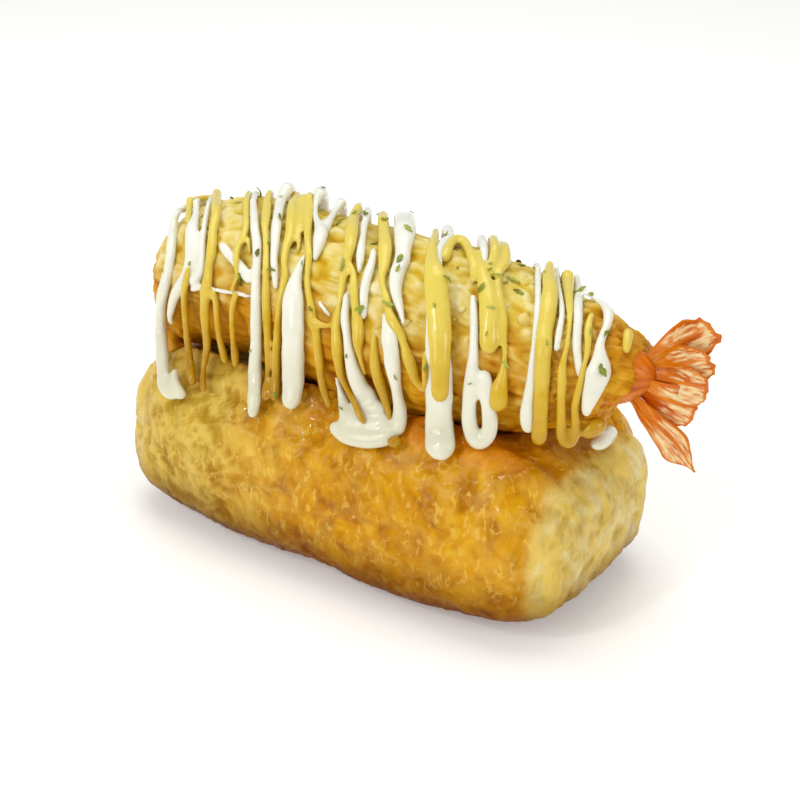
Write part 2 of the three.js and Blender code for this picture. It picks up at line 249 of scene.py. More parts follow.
def coatRadius(x):
    x = np.asarray(x, float)
    t = np.minimum(np.abs(x - coat["middle"]) / coat["halfLength"], 1)
    slim = coat["tailNarrowing"] * smoothstep(x, coat["narrowsFrom"], coat["halfLength"])
    bluntness = np.where(x < coat["middle"], coat["headBluntness"], coat["tailBluntness"])
    return (coat["radius"] - slim) * np.maximum(1 - t ** bluntness, 0) ** coat["endPower"]


def pouchLengthScale(z):
    return 1 - pouch["topNarrowing"] * smoothstep(z, pouch["height"] * pouch["narrowsFrom"], pouch["height"])


def pouchHalfWidth(x, z):
    across = np.maximum(1 - np.abs(2 * z / pouch["height"] - 1) ** pouch["sidePower"], 0)
    along = np.abs(2 * x / pouch["length"] / pouchLengthScale(z)) ** pouch["planPower"]
    left = np.maximum(across ** (pouch["planPower"] / pouch["sidePower"]) - along, 0)
    return pouch["width"] / 2 * left ** (1 / pouch["planPower"])


def pouchForm():
    sides = [np.linspace(-1, 1, n + 1) for n in pouch["cells"]]
    points, faces, start = [], [], 0
    for fixed in range(3):
        a, b = [k for k in range(3) if k != fixed]
        for end in (-1, 1):
            grid = np.zeros((len(sides[a]), len(sides[b]), 3))
            grid[..., a], grid[..., b] = np.meshgrid(sides[a], sides[b], indexing="ij")
            grid[..., fixed] = end
            index = start + np.arange(grid[..., 0].size).reshape(grid.shape[:2])
            quads = gridQuads(index, flipped=True)
            faces.append(quads[:, ::-1] if (end > 0) == (fixed == 1) else quads)
            points.append(grid.reshape(-1, 3))
            start += grid[..., 0].size
    points = np.concatenate(points)
    _, first, shared = np.unique(np.round(points, 6), axis=0, return_index=True, return_inverse=True)
    p = np.tan(points[first] * math.pi / 4)
    faces = shared.reshape(-1)[np.concatenate(faces)]
    planPower, sidePower = pouch["planPower"], pouch["sidePower"]
    half = np.array([pouch["length"], pouch["width"], pouch["height"]]) / 2
    plan = np.abs(p[:, 0]) ** planPower + np.abs(p[:, 1]) ** planPower
    p *= ((plan ** (sidePower / planPower) + np.abs(p[:, 2]) ** sidePower) ** (-1 / sidePower))[:, None]
    plan = np.abs(p[:, 0]) ** planPower + np.abs(p[:, 1]) ** planPower
    edge = np.maximum(plan, 1e-6) ** (sidePower / planPower - 1)
    normal = np.sign(p) * np.abs(p) ** np.array([planPower - 1, planPower - 1, sidePower - 1]) / half
    normal[:, :2] *= edge[:, None]
    normal /= np.linalg.norm(normal, axis=1)[:, None]
    p = p * half
    p[:, 2] += half[2]
    p[:, 0] *= pouchLengthScale(p[:, 2])
    x, y, z = p.T
    size = pouch["lumpSize"]
    lump = lumps(*(p / size + pouch["lumpShift"]).T) - 0.5
    foldPlace = np.abs(np.abs(x) - pouch["length"] * pouch["creaseAt"])
    fold = np.exp(-((foldPlace / pouch["creaseWidth"]) ** 2))
    fold = fold * smoothstep(np.abs(y), *pouch["creaseAcross"]) * smoothstep(z, *pouch["creaseUp"])
    lip = np.exp(-(((np.abs(y) - pouch["lipAt"]) / pouch["lipWidth"]) ** 2))
    lip = lip * smoothstep(z, *pouch["lipUp"]) * (1 - smoothstep(np.abs(x), *pouch["lipFade"]))
    ringed = sum(np.exp(-(((np.hypot(x - along, z - height) - radius) / pouch["ringWidth"]) ** 2))
                 for along, height, radius in pouch["rings"]) * (y < 0) * pouch["ringDepth"]
    p += normal * (pouch["lump"] * 2 * lump - pouch["crease"] * fold + pouch["lip"] * lip + ringed)[:, None]
    x, y, z = p.T
    reach = np.maximum(coatRadius(x), 0.01)
    across = np.sqrt(np.maximum(1 - (y / (coat["widthRatio"] * reach)) ** 2, 0))
    under = coatAxis(x) - reach * across - pouch["hollowGap"]
    inside = (np.abs(y) < coat["widthRatio"] * reach) & (z > pouch["hollowFrom"])
    p[:, 2] = np.where(inside, np.minimum(z, under), z)  # the hollow that the coat lies in
    p[:, 2] = np.maximum(p[:, 2], pouch["flatHeight"]) - pouch["flatHeight"]
    return p, faces


def coatForm():
    rows, around = coat["cells"]
    polar = np.linspace(0, math.pi, rows + 1)[1:-1, None]
    turn = np.linspace(0, 2 * math.pi, around, endpoint=False)[None, :]
    along = np.sign(np.cos(polar)) * np.abs(np.cos(polar)) ** coat["endCrowding"]
    x = coat["middle"] - coat["halfLength"] * 0.9999 * along + 0 * turn  # just short of the closing points
    radius = coatRadius(x)
    y = coat["widthRatio"] * radius * np.cos(turn)
    dz = radius * np.sin(turn)
    size = coat["cragSize"]
    shiftX, shiftY, shiftZ = coat["cragShift"]
    crag = lumps(x / size + shiftX, y / size + shiftY, (coatAxis(x) + dz) / size + shiftZ) - 0.5
    ledge = smoothstep(x, coat["ledgeFrom"] - 2, coat["ledgeFrom"] + 1)
    ledge = ledge * (1 - smoothstep(x, coat["ledgeTo"] - 1, coat["ledgeTo"] + 2))
    angle = np.arctan2(dz, np.abs(y))
    below = np.where(y < 0, smoothstep(-angle, -math.radians(coat["ledgeAngle"]), math.radians(5)), 0)
    swell = 1 + (coat["crag"] * crag - coat["ledge"] * ledge * below) / np.maximum(radius, 0.5)
    points = np.stack([x, y * swell, coatAxis(x) + dz * swell], -1).reshape(-1, 3)
    ends = [[coat["middle"] + s * coat["halfLength"], 0, coatAxis(s * coat["halfLength"])] for s in (-1, 1)]
    index = closedRound(np.arange((rows - 1) * around).reshape(rows - 1, around))
    head, tail = len(points), len(points) + 1
    caps = [[head, b, a] for a, b in zip(index[0, :-1], index[0, 1:])]
    caps += [[tail, a, b] for a, b in zip(index[-1, :-1], index[-1, 1:])]
    return np.concatenate([points, ends]), list(gridQuads(index)) + caps


# Materials


def tofuSkinMaterial():
    # Fried tofu simmered in sweet soy: an oily orange-gold skin, paler and drier where it folds at the ends
    material, tree = newMaterial("simmeredTofuSkin")
    place = addNode(tree, "ShaderNodeTexCoord").outputs["Object"]
    parts = addNode(tree, "ShaderNodeSeparateXYZ", links={0: place}).outputs
    relief = addNode(tree, "ShaderNodeAttribute", {"attribute_name": "skinHeight"}).outputs["Fac"]
    broad = addNode(tree, "ShaderNodeTexNoise", {"Scale": 1000 / 9, "Detail": 3.0}, {"Vector": place})
    blotch = addNode(tree, "ShaderNodeTexNoise", {"Scale": 1000 / 3.4, "Detail": 4.0, "Distortion": 0.5},
                     {"Vector": place})
    drawn = addNode(tree, "ShaderNodeVectorMath", {"operation": "MULTIPLY", 1: (1.0, 1.0, 0.5)}, {0: place})
    fleck = addNode(tree, "ShaderNodeTexNoise", {"Scale": 1000 / 0.9, "Detail": 4.0, "Distortion": 0.8},
                    {"Vector": drawn.outputs[0]})
    golden = addNode(tree, "ShaderNodeValToRGB", {"ramp": [
        (0.30, "#A66200"), (0.44, "#C28200"), (0.56, "#D29200"), (0.70, "#DCA40E")]},
        {0: blotch.outputs["Fac"]})
    ochre = addNode(tree, "ShaderNodeValToRGB", {"ramp": [
        (0.30, "#A47C0E"), (0.45, "#BA962C"), (0.60, "#C8AA48"), (0.75, "#D8C072")]},
        {0: blotch.outputs["Fac"]})
    straw = addNode(tree, "ShaderNodeValToRGB", {"ramp": [
        (0.30, "#BC9636"), (0.45, "#D2B45C"), (0.60, "#E0CC88"), (0.75, "#EEE2B8")]},
        {0: blotch.outputs["Fac"]})
    wander = addNode(tree, "ShaderNodeMath", {"operation": "MULTIPLY_ADD", 1: 0.016, 2: -0.008},
                     {0: broad.outputs["Fac"]})
    along = addNode(tree, "ShaderNodeMath", {"operation": "ADD"}, {0: parts[0], 1: wander.outputs[0]})
    headEnd = addNode(tree, "ShaderNodeMapRange", {
        "interpolation_type": "SMOOTHSTEP", "From Min": -0.002, "From Max": -0.020, "To Max": 0.9},
        {"Value": along.outputs[0]})
    tailEnd = addNode(tree, "ShaderNodeMapRange", {
        "interpolation_type": "SMOOTHSTEP", "From Min": 0.0325, "From Max": 0.0348}, {"Value": parts[0]})
    headTip = addNode(tree, "ShaderNodeMapRange", {
        "interpolation_type": "SMOOTHSTEP", "From Min": -0.0315, "From Max": -0.0365, "To Max": 0.75},
        {"Value": along.outputs[0]})
    bothEnds = addNode(tree, "ShaderNodeMath", {"operation": "MAXIMUM"},
                       {0: tailEnd.outputs[0], 1: headTip.outputs[0]})
    aged = addNode(tree, "ShaderNodeMix", {"data_type": "RGBA"}, {
        "Factor_Float": headEnd.outputs[0], "A_Color": golden.outputs[0], "B_Color": ochre.outputs[0]})
    skin = addNode(tree, "ShaderNodeMix", {"data_type": "RGBA"}, {
        "Factor_Float": bothEnds.outputs[0], "A_Color": aged.outputs[2], "B_Color": straw.outputs[0]})
    dry = addNode(tree, "ShaderNodeMath", {"operation": "MAXIMUM"},
                  {0: tailEnd.outputs[0], 1: headEnd.outputs[0]})
    veinShare = addNode(tree, "ShaderNodeMath", {"operation": "MULTIPLY_ADD", 1: 0.44, 2: 0.18},
                        {0: dry.outputs[0]})
    crest = addNode(tree, "ShaderNodeMapRange", {"From Min": 0.50, "From Max": 0.90}, {"Value": relief})
    veins = addNode(tree, "ShaderNodeMath", {"operation": "MULTIPLY"},
                    {0: crest.outputs[0], 1: veinShare.outputs[0]})
    ridged = addNode(tree, "ShaderNodeMix", {"data_type": "RGBA", "B_Color": toLinear("#EBCA60")},
                     {"Factor_Float": veins.outputs[0], "A_Color": skin.outputs[2]})
    spot = addNode(tree, "ShaderNodeMapRange", {"From Min": 0.57, "From Max": 0.64, "To Max": 0.46},
                   {"Value": fleck.outputs["Fac"]})
    flecked = addNode(tree, "ShaderNodeMix", {"data_type": "RGBA", "B_Color": toLinear("#F0C85A")},
                      {"Factor_Float": spot.outputs[0], "A_Color": ridged.outputs[2]})
    # painted shade: the skin is multiplied darker olive-brown towards its bottom edge, next to the floor
    low = addNode(tree, "ShaderNodeMapRange", {
        "interpolation_type": "SMOOTHSTEP", "From Min": 0.0130, "From Max": 0.0015},
        {"Value": parts[2]})
    paintedShade = addNode(tree, "ShaderNodeMix", {"data_type": "RGBA", "blend_type": "MULTIPLY",
                                             "B_Color": toLinear("#8E6E1C")},
                     {"Factor_Float": low.outputs[0], "A_Color": flecked.outputs[2]})
    # painted shade: a deeper orange at the rim, in the shade below the tail half of the batter
    rim = addNode(tree, "ShaderNodeMapRange", {
        "interpolation_type": "SMOOTHSTEP", "From Min": 0.0232, "From Max": 0.0268}, {"Value": parts[2]})
    tailHalf = addNode(tree, "ShaderNodeMapRange", {
        "interpolation_type": "SMOOTHSTEP", "From Min": 0.002, "From Max": 0.012, "To Max": 0.7},
        {"Value": along.outputs[0]})
    edgeBand = addNode(tree, "ShaderNodeMath", {"operation": "MULTIPLY"},
                       {0: rim.outputs[0], 1: tailHalf.outputs[0]})
    inFront = addNode(tree, "ShaderNodeMath", {"operation": "SUBTRACT", 0: 1.0, "use_clamp": True},
                      {1: tailEnd.outputs[0]})
    shadeBelowCoatShare = addNode(tree, "ShaderNodeMath", {"operation": "MULTIPLY"},
                         {0: edgeBand.outputs[0], 1: inFront.outputs[0]})
    shadedBelowCoat = addNode(tree, "ShaderNodeMix", {"data_type": "RGBA", "B_Color": toLinear("#DC7C00")},
                  {"Factor_Float": shadeBelowCoatShare.outputs[0], "A_Color": paintedShade.outputs[2]})
    oil = addNode(tree, "ShaderNodeMapRange", {
        "From Min": 0.35, "From Max": 0.65, "To Min": 0.24, "To Max": 0.5}, {"Value": broad.outputs["Fac"]})
    pores = addNode(tree, "ShaderNodeBump", {"Strength": 0.9, "Distance": 0.2 * mm},
                    {"Height": fleck.outputs["Fac"]})
    film = addNode(tree, "ShaderNodeMapRange", {
        "From Min": 0.0, "From Max": 0.6, "To Min": 0.22, "To Max": 0.0}, {"Value": low.outputs[0]})
    endMaterial(tree, {"IOR": 1.45, "Specular IOR Level": 0.04, "Subsurface Weight": 0.1,
                       "Subsurface Radius": (1.0, 0.7, 0.2), "Subsurface Scale": 0.8 * mm,
                       "Coat Roughness": 0.07},
                {"Base Color": shadedBelowCoat.outputs[2], "Roughness": oil.outputs[0],
                 "Coat Weight": film.outputs[0], "Normal": pores.outputs[0]})
    return material


def batterMaterial():
    # Deep-fried flour batter: pale, dry crests above hollows that hold the oil and brown, the hollows also
    # darkened as painted shade; the crown is painted lighter and the lower flanks darker, as painted light
    # and painted shade
    material, tree = newMaterial("friedBatter")
    place = addNode(tree, "ShaderNodeTexCoord").outputs["Object"]
    parts = addNode(tree, "ShaderNodeSeparateXYZ", links={0: place}).outputs
    relief = addNode(tree, "ShaderNodeAttribute", {"attribute_name": "crustHeight"}).outputs["Fac"]
    broad = addNode(tree, "ShaderNodeTexNoise", {"Scale": 1000 / 6, "Detail": 3.0}, {"Vector": place})
    crumb = addNode(tree, "ShaderNodeTexNoise", {"Scale": 1000 / 0.7, "Detail": 4.0}, {"Vector": place})
    wander = addNode(tree, "ShaderNodeMath", {"operation": "MULTIPLY_ADD", 1: 0.6, 2: -0.3},
                     {0: broad.outputs["Fac"]})
    mixed = addNode(tree, "ShaderNodeMath", {"operation": "ADD"}, {0: relief, 1: wander.outputs[0]})
    crown = addNode(tree, "ShaderNodeValToRGB", {"ramp": [
        (0.06, "#BC8608"), (0.26, "#D4AA26"), (0.44, "#DEC24C"), (0.62, "#E7D37C"), (0.88, "#F0E6B4")]},
        {0: mixed.outputs[0]})
    flank = addNode(tree, "ShaderNodeValToRGB", {"ramp": [
        (0.12, "#A25A02"), (0.36, "#C07A04"), (0.58, "#D09210"), (0.78, "#DAA624"), (0.98, "#E6C060")]},
        {0: mixed.outputs[0]})
    # painted light and shade by height: the pale crown colour where light falls on top, the darker flank
    # colour lower down in shade
    climb = addNode(tree, "ShaderNodeMath", {"operation": "MULTIPLY_ADD", 1: 0.016},
                    {0: broad.outputs["Fac"], 2: parts[2]})
    onCrown = addNode(tree, "ShaderNodeMapRange", {
        "interpolation_type": "SMOOTHSTEP", "From Min": 0.0410, "From Max": 0.0525},
        {"Value": climb.outputs[0]})
    beforeTail = addNode(tree, "ShaderNodeMapRange", {
        "interpolation_type": "SMOOTHSTEP", "From Min": 0.0375, "From Max": 0.0285, "To Min": 0.1},
        {"Value": parts[0]})
    paintedLightShare = addNode(tree, "ShaderNodeMath", {"operation": "MULTIPLY"},
                   {0: onCrown.outputs[0], 1: beforeTail.outputs[0]})
    crust = addNode(tree, "ShaderNodeMix", {"data_type": "RGBA"}, {
        "Factor_Float": paintedLightShare.outputs[0], "A_Color": flank.outputs[0], "B_Color": crown.outputs[0]})
    # painted shade: the recess below the ledge at the head end, in front, is darkened where shade falls
    away = addNode(tree, "ShaderNodeMath", {"operation": "ADD", 1: 0.0205}, {0: parts[0]})
    distance = addNode(tree, "ShaderNodeMath", {"operation": "ABSOLUTE"}, {0: away.outputs[0]})
    beside = addNode(tree, "ShaderNodeMapRange", {"From Min": 0.0100, "From Max": 0.0060},
                     {"Value": distance.outputs[0]})
    beneath = addNode(tree, "ShaderNodeMapRange", {"From Min": 0.0372, "From Max": 0.0325},
                      {"Value": parts[2]})
    front = addNode(tree, "ShaderNodeMapRange", {"From Min": -0.002, "From Max": -0.007},
                    {"Value": parts[1]})
    recess = addNode(tree, "ShaderNodeMath", {"operation": "MULTIPLY"},
                     {0: beside.outputs[0], 1: beneath.outputs[0]})
    hidden = addNode(tree, "ShaderNodeMath", {"operation": "MULTIPLY"},
                     {0: recess.outputs[0], 1: front.outputs[0]})
    # painted shade: how far the recess is darkened
    paintedShade = addNode(tree, "ShaderNodeMath", {"operation": "MULTIPLY", 1: 0.7}, {0: hidden.outputs[0]})
    recessShaded = addNode(tree, "ShaderNodeMix", {"data_type": "RGBA", "B_Color": toLinear("#BC7C0C")},
                      {"Factor_Float": paintedShade.outputs[0], "A_Color": crust.outputs[2]})
    pores = addNode(tree, "ShaderNodeBump", {"Strength": 0.5, "Distance": 0.10 * mm},
                    {"Height": crumb.outputs["Fac"]})
    oil = addNode(tree, "ShaderNodeMapRange", {
        "From Min": 0.1, "From Max": 0.8, "To Min": 0.25, "To Max": 0.5}, {"Value": mixed.outputs[0]})
    endMaterial(tree, {"IOR": 1.47, "Specular IOR Level": 0.10, "Subsurface Weight": 0.2,
                       "Subsurface Radius": (1.0, 0.75, 0.3), "Subsurface Scale": 1.0 * mm},
                {"Base Color": recessShaded.outputs[2], "Roughness": oil.outputs[0], "Normal": pores.outputs[0]})
    return material


sauceShadedToLit = {  # from painted shade where a strand hangs low to painted light where it lies on the crown
    "pipedMayonnaise": ("#DCD9BE", "#E8E6D2", "#EFEFE2"),
    "pipedMustardSauce": ("#AC7800", "#D2A916", "#E6D05A"),
}


def sauceMaterial(name):
    # An egg and oil emulsion squeezed from a bottle: smooth and wet, paler where it lies on the crown,
    # clearer and deeper where it hangs; this change by height is mostly painted light and painted shade
    material, tree = newMaterial(name)
    place = addNode(tree, "ShaderNodeTexCoord").outputs["Object"]
    up = addNode(tree, "ShaderNodeSeparateXYZ", links={0: place}).outputs[2]
    flow = addNode(tree, "ShaderNodeTexNoise", {"Scale": 1000 / 3.0, "Detail": 2.0}, {"Vector": place})
    drawn = addNode(tree, "ShaderNodeVectorMath", {
        "operation": "MULTIPLY", 1: (1000 / 0.9, 1000 / 0.9, 1000 / 9)}, {0: place})
    streak = addNode(tree, "ShaderNodeTexNoise", {"Scale": 1.0, "Detail": 2.0}, {"Vector": drawn.outputs[0]})
    # painted light and shade by height: lighter high up on the crown, darker lower down
    height = addNode(tree, "ShaderNodeMapRange", {
        "From Min": 0.023, "From Max": 0.047, "To Min": -0.2, "To Max": 0.8}, {"Value": up})
    shade = addNode(tree, "ShaderNodeMath", {"operation": "MULTIPLY_ADD", 1: 0.4},
                    {0: flow.outputs["Fac"], 2: height.outputs[0]})
    colour = addNode(tree, "ShaderNodeValToRGB", {"ramp": list(zip((0.05, 0.45, 0.9), sauceShadedToLit[name]))},
                     {0: shade.outputs[0]})
    ripple = addNode(tree, "ShaderNodeBump", {"Strength": 0.35, "Distance": 0.12 * mm},
                     {"Height": streak.outputs["Fac"]})
    endMaterial(tree, {"IOR": 1.46, "Roughness": 0.13, "Subsurface Weight": 0.3,
                       "Subsurface Radius": (1.0, 0.85, 0.5), "Subsurface Scale": 0.9 * mm},
                {"Base Color": colour.outputs[0], "Normal": ripple.outputs[0]})
    return material


def parsleyMaterial():
    # Dried parsley leaf, crumbled: olive to bright green, matt and thin
    material, tree = newMaterial("driedParsley")
    place = addNode(tree, "ShaderNodeTexCoord").outputs["Object"]
    tone = addNode(tree, "ShaderNodeTexNoise", {"Scale": 1000 / 3.0, "Detail": 2.0}, {"Vector": place})
    colour = addNode(tree, "ShaderNodeValToRGB", {"ramp": [
        (0.30, "#6A6418"), (0.42, "#7C8826"), (0.55, "#98A63C"), (0.70, "#B6C464")]},
        {0: tone.outputs["Fac"]})
    endMaterial(tree, {"Roughness": 0.55, "IOR": 1.4, "Subsurface Weight": 0.15,
                       "Subsurface Scale": 0.4 * mm}, {"Base Color": colour.outputs[0]})
    return material


def prawnMaterial():
    # Cooked prawn shell: thin, orange and glossy with a fibrous grain, and creamy webs between the fin ribs
    material, tree = newMaterial("cookedPrawnShell")
    grain = addNode(tree, "ShaderNodeAttribute", {"attribute_name": "grain"}).outputs["Vector"]
    rib = addNode(tree, "ShaderNodeAttribute", {"attribute_name": "rib"}).outputs["Fac"]
    web = addNode(tree, "ShaderNodeAttribute", {"attribute_name": "web"}).outputs["Fac"]
    blotch = addNode(tree, "ShaderNodeTexNoise", {"Scale": 1 / 1.3, "Detail": 5.0, "Distortion": 0.7},
                     {"Vector": grain})
    fibre = addNode(tree, "ShaderNodeTexNoise", {"Scale": 1 / 0.3, "Detail": 3.0}, {"Vector": grain})
    shell = addNode(tree, "ShaderNodeValToRGB", {"ramp": [
        (0.28, "#AA4600"), (0.42, "#CC6200"), (0.56, "#DC7A06"), (0.68, "#E69426"), (0.82, "#EFB868")]},
        {0: blotch.outputs["Fac"]})
    patch = addNode(tree, "ShaderNodeMath", {"operation": "MULTIPLY"}, {0: web, 1: fibre.outputs["Fac"]})
    both = addNode(tree, "ShaderNodeMath", {"operation": "MULTIPLY_ADD", 1: 1.0},
                   {0: patch.outputs[0], 2: blotch.outputs["Fac"]})
    clear = addNode(tree, "ShaderNodeMapRange", {"From Min": 0.81, "From Max": 1.08, "To Max": 0.86},
                    {"Value": both.outputs[0]})
    webbed = addNode(tree, "ShaderNodeMix", {"data_type": "RGBA", "B_Color": toLinear("#F4E0AA")},
                     {"Factor_Float": clear.outputs[0], "A_Color": shell.outputs[0]})
    edged = addNode(tree, "ShaderNodeMath", {"operation": "MULTIPLY", 1: 0.6}, {0: rib})
    ribbed = addNode(tree, "ShaderNodeMix", {"data_type": "RGBA", "B_Color": toLinear("#D67408")},
                     {"Factor_Float": edged.outputs[0], "A_Color": webbed.outputs[2]})
    bump = addNode(tree, "ShaderNodeBump", {"Strength": 0.7, "Distance": 0.18 * mm},
                   {"Height": fibre.outputs["Fac"]})
    endMaterial(tree, {"Roughness": 0.24, "IOR": 1.5, "Specular IOR Level": 0.25,
                       "Subsurface Weight": 0.15, "Subsurface Radius": (1.0, 0.6, 0.2),
                       "Subsurface Scale": 0.8 * mm, "Coat Weight": 0.15, "Coat Roughness": 0.08},
                {"Base Color": ribbed.outputs[2], "Normal": bump.outputs[0]})
    return material


# Camera, lights and floor

camera = {
    "azimuth": 34.12,  # degrees round from the front towards the tail
    "elevation": 27.85,
    "distance": 253.6,  # millimetres from the point looked at
    "lookedAt": (3.14, 0, 22.1),
    "focalPixels": 1792,
    "framePixels": 800,
    "sensorWidth": 36,  # millimetres
}


studio = {
    "lights": {  # place and target in millimetres, size in millimetres, power in watts
        "topSoftbox": ((-60, 80, 420), (0, 0, 30), 360, 0.72),
        "frontSoftbox": ((-120, -380, 240), (0, 0, 25), 260, 0.50),
        "sideStrip": ((330, -60, 200), (20, 0, 30), 160, 0.20),
        "bareLamp": ((-70, -300, 330), (0, 0, 30), 26, 0.16),
    },
    "skyStrength": 0.5,
    "floorHalf": 3000,  # millimetres from the middle to its edge
}


def cameraPlace():
    a, e = math.radians(camera["azimuth"]), math.radians(camera["elevation"])
    back = Vector((math.sin(a) * math.cos(e), -math.cos(a) * math.cos(e), math.sin(e)))
    return Vector(camera["lookedAt"]) + back * camera["distance"], back


def buildStage():
    place, back = cameraPlace()
    data = bpy.data.cameras.new("photographCamera")
    data.sensor_width = camera["sensorWidth"]
    data.lens = camera["sensorWidth"] * camera["focalPixels"] / camera["framePixels"]
    data.clip_start = 0.01
    view = linkedObject("photographCamera", data)
    view.location = place * mm
    view.rotation_euler = back.to_track_quat("Z", "Y").to_euler()
    bpy.context.scene.camera = view

    for name, (spot, target, size, power) in studio["lights"].items():
        lamp = bpy.data.lights.new(name, "AREA")
        lamp.shape = "DISK"
        lamp.size = size * mm
        lamp.energy = power
        stand = linkedObject(name, lamp)
        stand.location = Vector(spot) * mm
        stand.rotation_euler = (Vector(spot) - Vector(target)).to_track_quat("Z", "Y").to_euler()

    world = bpy.data.worlds.new("whiteStudio")
    bpy.context.scene.world = world
    world.use_nodes = True
    sky = world.node_tree.nodes["Background"]
    sky.inputs["Color"].default_value = toLinear("#FFFFFF")
    sky.inputs["Strength"].default_value = studio["skyStrength"]
    bpy.context.scene.view_settings.view_transform = "Standard"

    half = studio["floorHalf"]
    corners = [(-half, -half, 0), (half, -half, 0), (half, half, 0), (-half, half, 0)]
    floor = meshObject("studioFloor", corners, [(0, 1, 2, 3)])
    material, tree = newMaterial("whiteSweep")
    endMaterial(tree, {"Base Color": toLinear("#FAFAF8"), "Roughness": 0.9, "Specular IOR Level": 0.1,
                       "Emission Color": toLinear("#FFFFFF"), "Emission Strength": 0.2}, {})
    floor.data.materials.append(material)
    print("camera, lights and floor stand")


# Pouch

skinRelief = {  # heights and sizes in metres
    "Wrinkle Height": 0.26 * mm,
    "Wrinkle Size": 5.0 * mm,
    "Gather Height": 0.6 * mm,
    "Blister Height": 0.19 * mm,
    "Blister Size": 1.9 * mm,
    "Pore Height": 0.12 * mm,
    "Pore Size": 1.0 * mm,
}


def patternScale(tree, size):  # scale of a pattern whose features have the given size
    return addNode(tree, "ShaderNodeMath", {"operation": "DIVIDE", 0: 1.0}, {1: size}).outputs[0]


# High along the lines where a noise crosses its middle value
def foldedRidges(tree, place, size, detail, distortion, width):
    noise = addNode(tree, "ShaderNodeTexNoise", {"Detail": detail, "Distortion": distortion},
                    {"Vector": place, "Scale": patternScale(tree, size)})
    centred = addNode(tree, "ShaderNodeMath", {"operation": "SUBTRACT", 1: 0.5}, {0: noise.outputs[0]})
    folded = addNode(tree, "ShaderNodeMath", {"operation": "ABSOLUTE"}, {0: centred.outputs[0]})
    return addNode(tree, "ShaderNodeMapRange", {
        "From Min": 0.0, "From Max": width, "To Min": 1.0, "To Max": 0.0},
        {"Value": folded.outputs[0]}).outputs[0]


def roundDomes(tree, place, size, core, edge):  # one dome in each cell
    cells = addNode(tree, "ShaderNodeTexVoronoi", {"feature": "SMOOTH_F1"},
                    {"Vector": place, "Scale": patternScale(tree, size)})
    return addNode(tree, "ShaderNodeMapRange", {
        "From Min": core, "From Max": edge, "To Min": 1.0, "To Max": 0.0},
        {"Value": cells.outputs["Distance"]}).outputs[0]


# Each pattern times the height that the modifier gives it, added up
def stackedHeights(tree, given, patterns):
    total = None
    for pattern, height in patterns:
        part = addNode(tree, "ShaderNodeMath", {"operation": "MULTIPLY"}, {0: pattern, 1: given[height]})
        if total is None:
            total = part.outputs[0]
        else:
            added = addNode(tree, "ShaderNodeMath", {"operation": "ADD"}, {0: total, 1: part.outputs[0]})
            total = added.outputs[0]
    return total


# Moves the surface out by the kept height, and stores the height as a share of the full one for the material
def raiseSurface(tree, given, kept, height, fullHeight, label, material):
    normal = addNode(tree, "GeometryNodeInputNormal").outputs[0]
    offset = addNode(tree, "ShaderNodeVectorMath", {"operation": "SCALE"}, {0: normal, "Scale": kept})
    share = addNode(tree, "ShaderNodeMath", {"operation": "DIVIDE", 1: fullHeight}, {0: height})
    stored = addNode(tree, "GeometryNodeStoreNamedAttribute", {
        "Name": label, "data_type": "FLOAT", "domain": "POINT"},
        {"Geometry": given["Geometry"], "Value": share.outputs[0]})
    moved = addNode(tree, "GeometryNodeSetPosition",
                    links={"Geometry": stored.outputs[0], "Offset": offset.outputs[0]})
    endTree(tree, moved.outputs[0], material)


